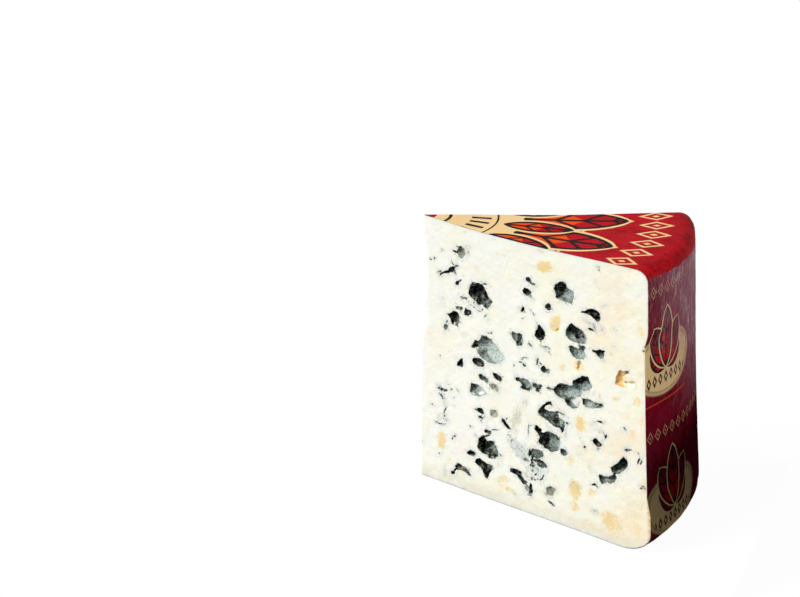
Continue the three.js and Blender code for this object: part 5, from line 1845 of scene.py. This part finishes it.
def mould_color(g, where, lining_and_shade, felt):
    """The felt of mould on a hole's walls: paler tufts and darker pits, none where it is black."""
    patch = g.noise(where, 2.2, 3, 0.6, 11)
    pale = g.smooth(g.node("ShaderNodeSeparateColor", "Green", {0: lining_and_shade}), 0.05, 0.17)
    lighter = g.mix(lining_and_shade, TUFT, g.multiply(pale, 0.62))
    tufts = g.smooth(g.add(felt, g.multiply(g.subtract(patch, 0.5), 0.8)), 0.51, 0.60)
    mould = g.mix(lining_and_shade, lighter, g.multiply(tufts, 0.9))
    pits = g.multiply(g.smooth(felt, 0.46, 0.38), 0.72)
    mould = g.mix(mould, PIT, pits)
    grain = g.noise(where, 0.45, 3, 0.7, 9)
    bright_grain = g.multiply(g.multiply(g.smooth(grain, 0.53, 0.62), pale), 0.5)
    mould = g.mix(mould, BRIGHT_GRAIN, bright_grain)
    return g.mix(mould, DARK_GRAIN, g.multiply(g.smooth(grain, 0.47, 0.39), 0.5))


def mould_specks(g, where, color, gap, mouldy):
    """Grey smudges and small dark specks in the paste round the eyes."""
    mouldy = g.multiply(mouldy, g.smooth(gap, -0.2, 0.1))
    close = g.multiply(g.smooth(gap, 3.4, 0.2), mouldy)
    clustered = g.multiply(close, g.smooth(g.noise(where, 4.0, 2, 0.5, 17), 0.44, 0.58))
    fine = g.smooth(g.noise(where, 0.8, 3, 0.7, 19), 0.60, 0.67)
    smudge = g.multiply(g.smooth(gap, 2.6, 0.1), g.smooth(g.noise(where, 1.5, 5, 0.75, 61), 0.42, 0.62))
    color = g.mix(color, SMUDGE, g.multiply(g.multiply(smudge, mouldy), 0.50))
    return g.mix(color, DARK_SPECK, g.multiply(g.multiply(fine, clustered), 0.75))


CRIMSON = (0.47, 0.003, 0.010)
CREAM = (0.88, 0.62, 0.30)
ORANGE = (0.84, 0.080, 0.006)
INK = (0.022, 0.010, 0.010)
BURGUNDY = (0.22, 0.006, 0.022)
SILVER = (0.55, 0.55, 0.56)
SHEEN_MAUVE = (0.36, 0.105, 0.16)
GLINT = (0.95, 0.74, 0.82)
WORN_CRIMSON = (0.33, 0.002, 0.008)
FOLD_SHADE_CRIMSON = (0.20, 0.002, 0.005)
WORN_BURGUNDY = (0.13, 0.003, 0.011)
WRINKLE_SHADE = (0.05, 0.003, 0.010)
FOLD_HEIGHT = 96.6  # where the top's print gives way to the rim's
FOLD_SLOPE = 5.0


def leaf_distance(g, along, across, length, width):
    """How far inside a leaf's outline a point lies, in millimetres."""
    share = g.most(g.least(g.divide(along, length), 1.0), 0.0)
    bulge = g.multiply(g.multiply(share, g.subtract(1.0, share)), 4.0)
    half = g.multiply(g.math("POWER", bulge, 0.75), width)
    past = g.most(g.most(g.multiply(along, -1.0), g.subtract(along, length)), 0.0)
    return g.subtract(g.subtract(half, g.absolute(across)), past)


def leaf_print(g, ground, along, across, length, width, line=1.0, tones=None):
    """A veined leaf in two tones, outlined in ink and cream."""
    base, tip = tones or (ORANGE, CRIMSON)
    inside = leaf_distance(g, along, across, length, width)
    side = g.absolute(across)
    color = g.mix(ground, CREAM, g.step(inside, -line * 0.9))
    color = g.mix(color, INK, g.step(inside, 0.0))
    fill = g.mix(base, tip, g.step(g.add(along, g.multiply(side, 0.8)), length * 0.58))
    veins = g.math("FRACT", g.divide(g.subtract(along, g.multiply(side, 1.1)), length * 0.27))
    cells = g.multiply(g.step(veins, 0.22), g.step(side, line * 0.45))
    return g.mix(color, fill, g.multiply(cells, g.step(inside, line)))


def around(g, angle, pitch):
    """Angle from the nearest of a ring of spokes."""
    return g.subtract(angle, g.multiply(g.math("ROUND", g.divide(angle, pitch)), pitch))


def diamond_print(g, ground, across, along, half_width, half_height, line):
    """An open diamond in a cream line with a dot in its middle."""
    size = g.add(
        g.divide(g.absolute(across), half_width),
        g.divide(g.absolute(along), half_height),
    )
    inset = line / min(half_width, half_height)
    ring = g.multiply(g.step(size, 1.0, True), g.step(size, 1.0 - inset * 1.3))
    dot = g.step(size, 0.24, True)
    return g.mix(ground, CREAM, g.most(ring, dot))


def top_print(g, radius, angle, ground):
    """The round label on the top: a cream disc, a wreath of leaves and a ring of diamonds."""
    scallop = g.absolute(g.math("SINE", g.multiply(angle, 12.0)))
    edge = g.add(54.5, g.multiply(scallop, 2.4))
    color = g.mix(ground, CREAM, g.step(radius, edge, True))
    color = g.mix(color, CREAM, g.band(g.subtract(radius, edge), 1.1, 2.0))

    spoke = around(g, angle, math.radians(12))
    bars = g.multiply(g.step(radius, 17.0), g.step(radius, 24.0, True))
    bars = g.multiply(bars, g.step(g.absolute(g.multiply(spoke, radius)), 0.85, True))
    arcs = g.most(g.band(radius, 9.0, 10.2), g.band(radius, 26.0, 26.7))
    color = g.mix(color, INK, g.most(bars, arcs))

    turned = g.add(angle, math.radians(9))
    spoke = around(g, turned, math.radians(23))
    color = leaf_print(g, color, g.subtract(radius, 35.0), g.multiply(spoke, radius), 37.0, 9.4, 2.0)
    spoke = around(g, g.add(angle, math.radians(-2.5)), math.radians(23))
    color = leaf_print(g, color, g.subtract(radius, 29.0), g.multiply(spoke, radius), 25.0, 5.2, 1.6)

    color = g.mix(color, ground, g.step(radius, 4.6, True))
    spoke = around(g, g.add(angle, math.radians(3.6)), math.radians(7.2))
    return diamond_print(g, color, g.multiply(spoke, radius), g.subtract(radius, 81.5), 4.3, 6.2, 0.95)


def medallion_print(g, ground, across, up, half_width, half_height):
    """A cream oval with a sprig of leaves above a row of lozenges."""
    size = g.length(g.divide(across, half_width), g.divide(up, half_height))
    color = g.mix(ground, CREAM, g.step(size, 1.0, True))
    color = g.mix(color, INK, g.band(size, 0.90, 0.925))
    side = g.absolute(across)
    row = g.absolute(g.add(up, half_height * 0.48))
    beside = g.absolute(around(g, across, 3.6))
    lozenge = g.add(g.divide(beside, 1.35), g.divide(row, 2.3))
    lozenges = g.multiply(g.step(lozenge, 1.0, True), g.step(lozenge, 0.45))
    color = g.mix(color, INK, g.multiply(lozenges, g.step(side, half_width * 0.74, True)))
    rise = g.add(up, half_height * 0.16)
    tones = (CRIMSON, BURGUNDY)
    for turn, length, width in ((0.98, 1.10, 4.2), (0.52, 1.62, 4.6), (0.0, 1.95, 4.0)):
        along = g.add(g.multiply(side, math.sin(turn)), g.multiply(rise, math.cos(turn)))
        off = g.subtract(g.multiply(side, math.cos(turn)), g.multiply(rise, math.sin(turn)))
        color = leaf_print(g, color, along, off, half_height * length, width, 0.8, tones)
    return color


def rim_print(g, arc, height, ground):
    """The band round the rim: two rows of medallions, each under a row of small diamonds."""
    color = ground
    for level, start in ((66.5, 23.0), (15.5, 19.0)):
        across = around(g, g.add(arc, start), 76.0)
        up = g.subtract(height, level)
        color = medallion_print(g, color, across, up, 19.0, 11.0)
        marks = diamond_print(g, color, around(g, across, 4.75), g.subtract(up, 26.5), 1.9, 2.3, 0.42)
        color = g.mix(color, marks, 0.45)
        line = g.multiply(g.band(up, -13.6, -13.0), g.step(g.absolute(across), 16.0, True))
        color = g.mix(color, ORANGE, g.multiply(line, 0.6))
    return color


def wrinkle_lines(g, where):
    """Thin lines up the rim: painted highlights where wrinkles catch the light, and painted shade beside
    them.
    """
    long = g.noise(g.squash(where, (1, 1, 0.15)), 1.7, 3, 0.6, 41)
    short = g.noise(g.squash(where, (1, 1, 0.24)), 0.9, 3, 0.65, 43)
    first = g.smooth(g.absolute(g.subtract(long, 0.52)), 0.016, 0.004)
    second = g.smooth(g.absolute(g.subtract(short, 0.55)), 0.024, 0.006)
    broken = g.smooth(g.noise(g.squash(where, (1, 1, 0.4)), 3.6, 3, 0.65, 47), 0.44, 0.58)
    dark = g.smooth(g.absolute(g.subtract(long, 0.47)), 0.018, 0.005)
    return g.multiply(g.most(first, g.multiply(second, 0.8)), broken), dark


def foil_material():
    g = Graph("printed_foil")
    where = g.place()
    parts = g.node("ShaderNodeVectorMath", 0, {0: where, 1: (-AXIS_X, 0, 0)}, operation="ADD")
    x, y, height = [g.axis(parts, axis) for axis in "XYZ"]
    wobble = g.multiply(g.subtract(g.noise(where, 7, 2, 0.5, 12), 0.5), 0.5)
    radius = g.add(g.length(x, y), wobble)
    angle = g.math("ARCTAN2", y, x)
    arc = g.add(g.multiply(angle, WHEEL_RADIUS), wobble)

    worn = g.noise(where, 6, 4, 0.65, 3)
    crimson = g.mix(CRIMSON, WORN_CRIMSON, g.smooth(worn, 0.40, 0.68))
    # Painted shade: darker patches of crimson on the shoulder, where the fold's facets turn away from the
    # light.
    fold_shade = g.multiply(g.smooth(radius, 84, 93), g.smooth(g.noise(where, 3.2, 4, 0.65, 53), 0.47, 0.60))
    crimson = g.mix(crimson, FOLD_SHADE_CRIMSON, g.multiply(fold_shade, 0.75))
    burgundy = g.mix(BURGUNDY, WORN_BURGUNDY, g.smooth(worn, 0.36, 0.66))
    top = top_print(g, radius, angle, crimson)
    rim = rim_print(g, arc, height, burgundy)
    fold = g.add(height, g.multiply(g.subtract(g.noise(where, 4, 3, 0.6, 14), 0.5), 2.0))
    fold = g.add(fold, g.multiply(angle, FOLD_SLOPE))
    on_top = g.smooth(fold, FOLD_HEIGHT - 0.3, FOLD_HEIGHT + 0.3)
    color = g.mix(rim, top, on_top)
    # Painted reflection: the upper rim, most towards the back, is mixed in streaks towards mauve as a sheen
    # of the bright studio; the same mask also raises the real specular.
    streaks = g.noise(g.squash(where, (1, 1, 0.28)), 0.9, 4, 0.7, 21)
    sheen = g.multiply(g.smooth(height, 40, 84), g.smooth(g.add(arc, g.multiply(height, 0.35)), -14, 30))
    sheen = g.multiply(sheen, g.subtract(1.0, on_top))
    glare = g.add(0.35, g.multiply(g.smooth(streaks, 0.42, 0.62), 0.55))
    color = g.mix(color, SHEEN_MAUVE, g.multiply(sheen, glare))
    # Painted highlights on the wrinkles, and painted shade beside them.
    bright, dark = wrinkle_lines(g, where)
    color = g.mix(color, WRINKLE_SHADE, g.multiply(dark, g.multiply(sheen, 0.6)))
    glints = g.multiply(bright, g.add(0.05, g.multiply(sheen, 0.95)))
    color = g.mix(color, GLINT, g.multiply(glints, g.multiply(g.subtract(1.0, on_top), 0.75)))

    bare = g.most(g.smooth(height, 0.9, 0.5), g.smooth(g.number("inner"), 0.4, 0.6))
    color = g.mix(color, SILVER, bare)
    g.set(g.shader.inputs["Base Color"], color)
    g.set(g.shader.inputs["Metallic"], g.multiply(bare, 0.6))
    g.set(g.shader.inputs["Roughness"], g.add(0.30, g.multiply(worn, 0.16)))
    g.set(g.shader.inputs["Specular IOR Level"], g.add(g.multiply(sheen, 0.54), g.multiply(on_top, 0.05)))
    crumple = g.add(g.noise(where, 2.2, 4, 0.6, 8), g.multiply(streaks, g.add(0.5, sheen)))
    g.set(g.shader.inputs["Normal"], g.bump(crumple, 0.16, 0.8))
    return g.material


# ---------------------------------------------------------------- stage, light and camera

CAMERA_PLACE = (222.6, -655.9, 325.6)  # from the wheel's axis at the base
CAMERA_YAW = -0.339
CAMERA_PITCH = 0.355
CAMERA_ROLL = 0.006
FOCAL_PIXELS = 2069.0
PICTURE_WIDTH = 800
SENSOR_WIDTH = 36.0

# The stage, in metres and in Blender's units of light.
FLOOR_REACH = 6.0
FLOOR_GLOW = 0.97
FLAG_X = 0.0755
FLAG_REACH = 0.06
FLAG_HEIGHT = 0.055
WORLD_STRENGTH = 0.22
LIT_POINT = (0, 0, 0.05)
KEY_POWER = 3.42
SIDE_PANEL_POWER = 3.2
SIDE_PANEL_SIZE = 0.4
BACK_FILL_POWER = 2.8

# Edges of the pieces that bend by more than this many degrees are shaded sharp.
SHARP_ANGLE = 50


def add_camera():
    data = bpy.data.cameras.new("camera")
    data.sensor_width = SENSOR_WIDTH
    data.lens = FOCAL_PIXELS / PICTURE_WIDTH * SENSOR_WIDTH
    data.clip_end = 50
    camera = bpy.data.objects.new("camera", data)
    bpy.context.scene.collection.objects.link(camera)
    flat = math.cos(CAMERA_PITCH)
    forward = Vector((math.sin(CAMERA_YAW) * flat, math.cos(CAMERA_YAW) * flat, -math.sin(CAMERA_PITCH)))
    turn = forward.to_track_quat("-Z", "Y").to_matrix() @ Matrix.Rotation(CAMERA_ROLL, 3, "Z")
    camera.matrix_world = turn.to_4x4()
    camera.location = (Vector(CAMERA_PLACE) + Vector((AXIS_X, 0, 0))) * MM
    bpy.context.scene.camera = camera


def add_floor():
    """A pale floor that reaches past the picture. It throws no light back at the cheese."""
    side = FLOOR_REACH
    corners = [(-side, -side, 0), (side, -side, 0), (side, side, 0), (-side, side, 0)]
    floor = mesh_object("floor", corners, [(0, 1, 2, 3)])
    g = Graph("floor")
    g.shader.inputs["Base Color"].default_value = (0.04, 0.04, 0.04, 1)
    g.shader.inputs["Roughness"].default_value = 0.8
    g.shader.inputs["Specular IOR Level"].default_value = 0.0
    g.shader.inputs["Emission Color"].default_value = (1, 1, 1, 1)
    g.shader.inputs["Emission Strength"].default_value = FLOOR_GLOW
    floor.data.materials.append(g.material)
    floor.visible_diffuse = False
    floor.visible_glossy = False


def add_flag():
    """A black card by the rim, out of the camera's sight, that keeps light off the rim's foot."""
    x, reach, high = FLAG_X, FLAG_REACH, FLAG_HEIGHT
    corners = [(x, -reach, 0), (x, reach, 0), (x, reach, high), (x, -reach, high)]
    flag = mesh_object("flag", corners, [(0, 1, 2, 3)])
    g = Graph("flag")
    g.shader.inputs["Base Color"].default_value = (0, 0, 0, 1)
    g.shader.inputs["Roughness"].default_value = 1.0
    g.shader.inputs["Specular IOR Level"].default_value = 0.0
    flag.data.materials.append(g.material)
    flag.visible_camera = False


def lamp(kind, name, place, target, power, **settings):
    data = bpy.data.lights.new(name, kind)
    data.energy = power
    for key, value in settings.items():
        setattr(data, key, value)
    light = bpy.data.objects.new(name, data)
    bpy.context.scene.collection.objects.link(light)
    light.location = place
    light.rotation_euler = (Vector(target) - Vector(place)).to_track_quat("-Z", "Y").to_euler()
    return light


def add_light():
    world = bpy.data.worlds.new("studio")
    world.use_nodes = True
    world.node_tree.nodes["Background"].inputs["Color"].default_value = (1, 1, 1, 1)
    world.node_tree.nodes["Background"].inputs["Strength"].default_value = WORLD_STRENGTH
    bpy.context.scene.world = world
    lamp("SUN", "key", (-0.6, -0.65, 0.65), LIT_POINT, KEY_POWER, angle=math.radians(24))
    size = {"shape": "RECTANGLE", "size": SIDE_PANEL_SIZE, "size_y": SIDE_PANEL_SIZE}
    lamp("AREA", "side_panel", (0.8, 0.1, 0.42), LIT_POINT, SIDE_PANEL_POWER, **size)
    spread = math.radians(30)
    back_fill = lamp("SUN", "back_fill", (-0.5, 0.85, 0.08), LIT_POINT, BACK_FILL_POWER, angle=spread)
    back_fill.visible_glossy = False
    bpy.context.scene.view_settings.view_transform = "Standard"


def finish_piece(piece, node, material):
    piece.data.materials.clear()
    piece.data.materials.append(material)
    piece.data.polygons.foreach_set("use_smooth", [True] * len(piece.data.polygons))
    piece.data.set_sharp_from_angle(angle=math.radians(SHARP_ANGLE))
    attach(piece, "root")
    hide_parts(node)


add_camera()
add_floor()
add_flag()
add_light()
eyes = all_eyes()
cheese = cheese_piece(eyes)
mark_paste(cheese, eyes)
roughen(cheese)
place(cheese)
finish_piece(cheese, "cheese", paste_material())
foil = place(foil_piece())
finish_piece(foil, "foil", foil_material())
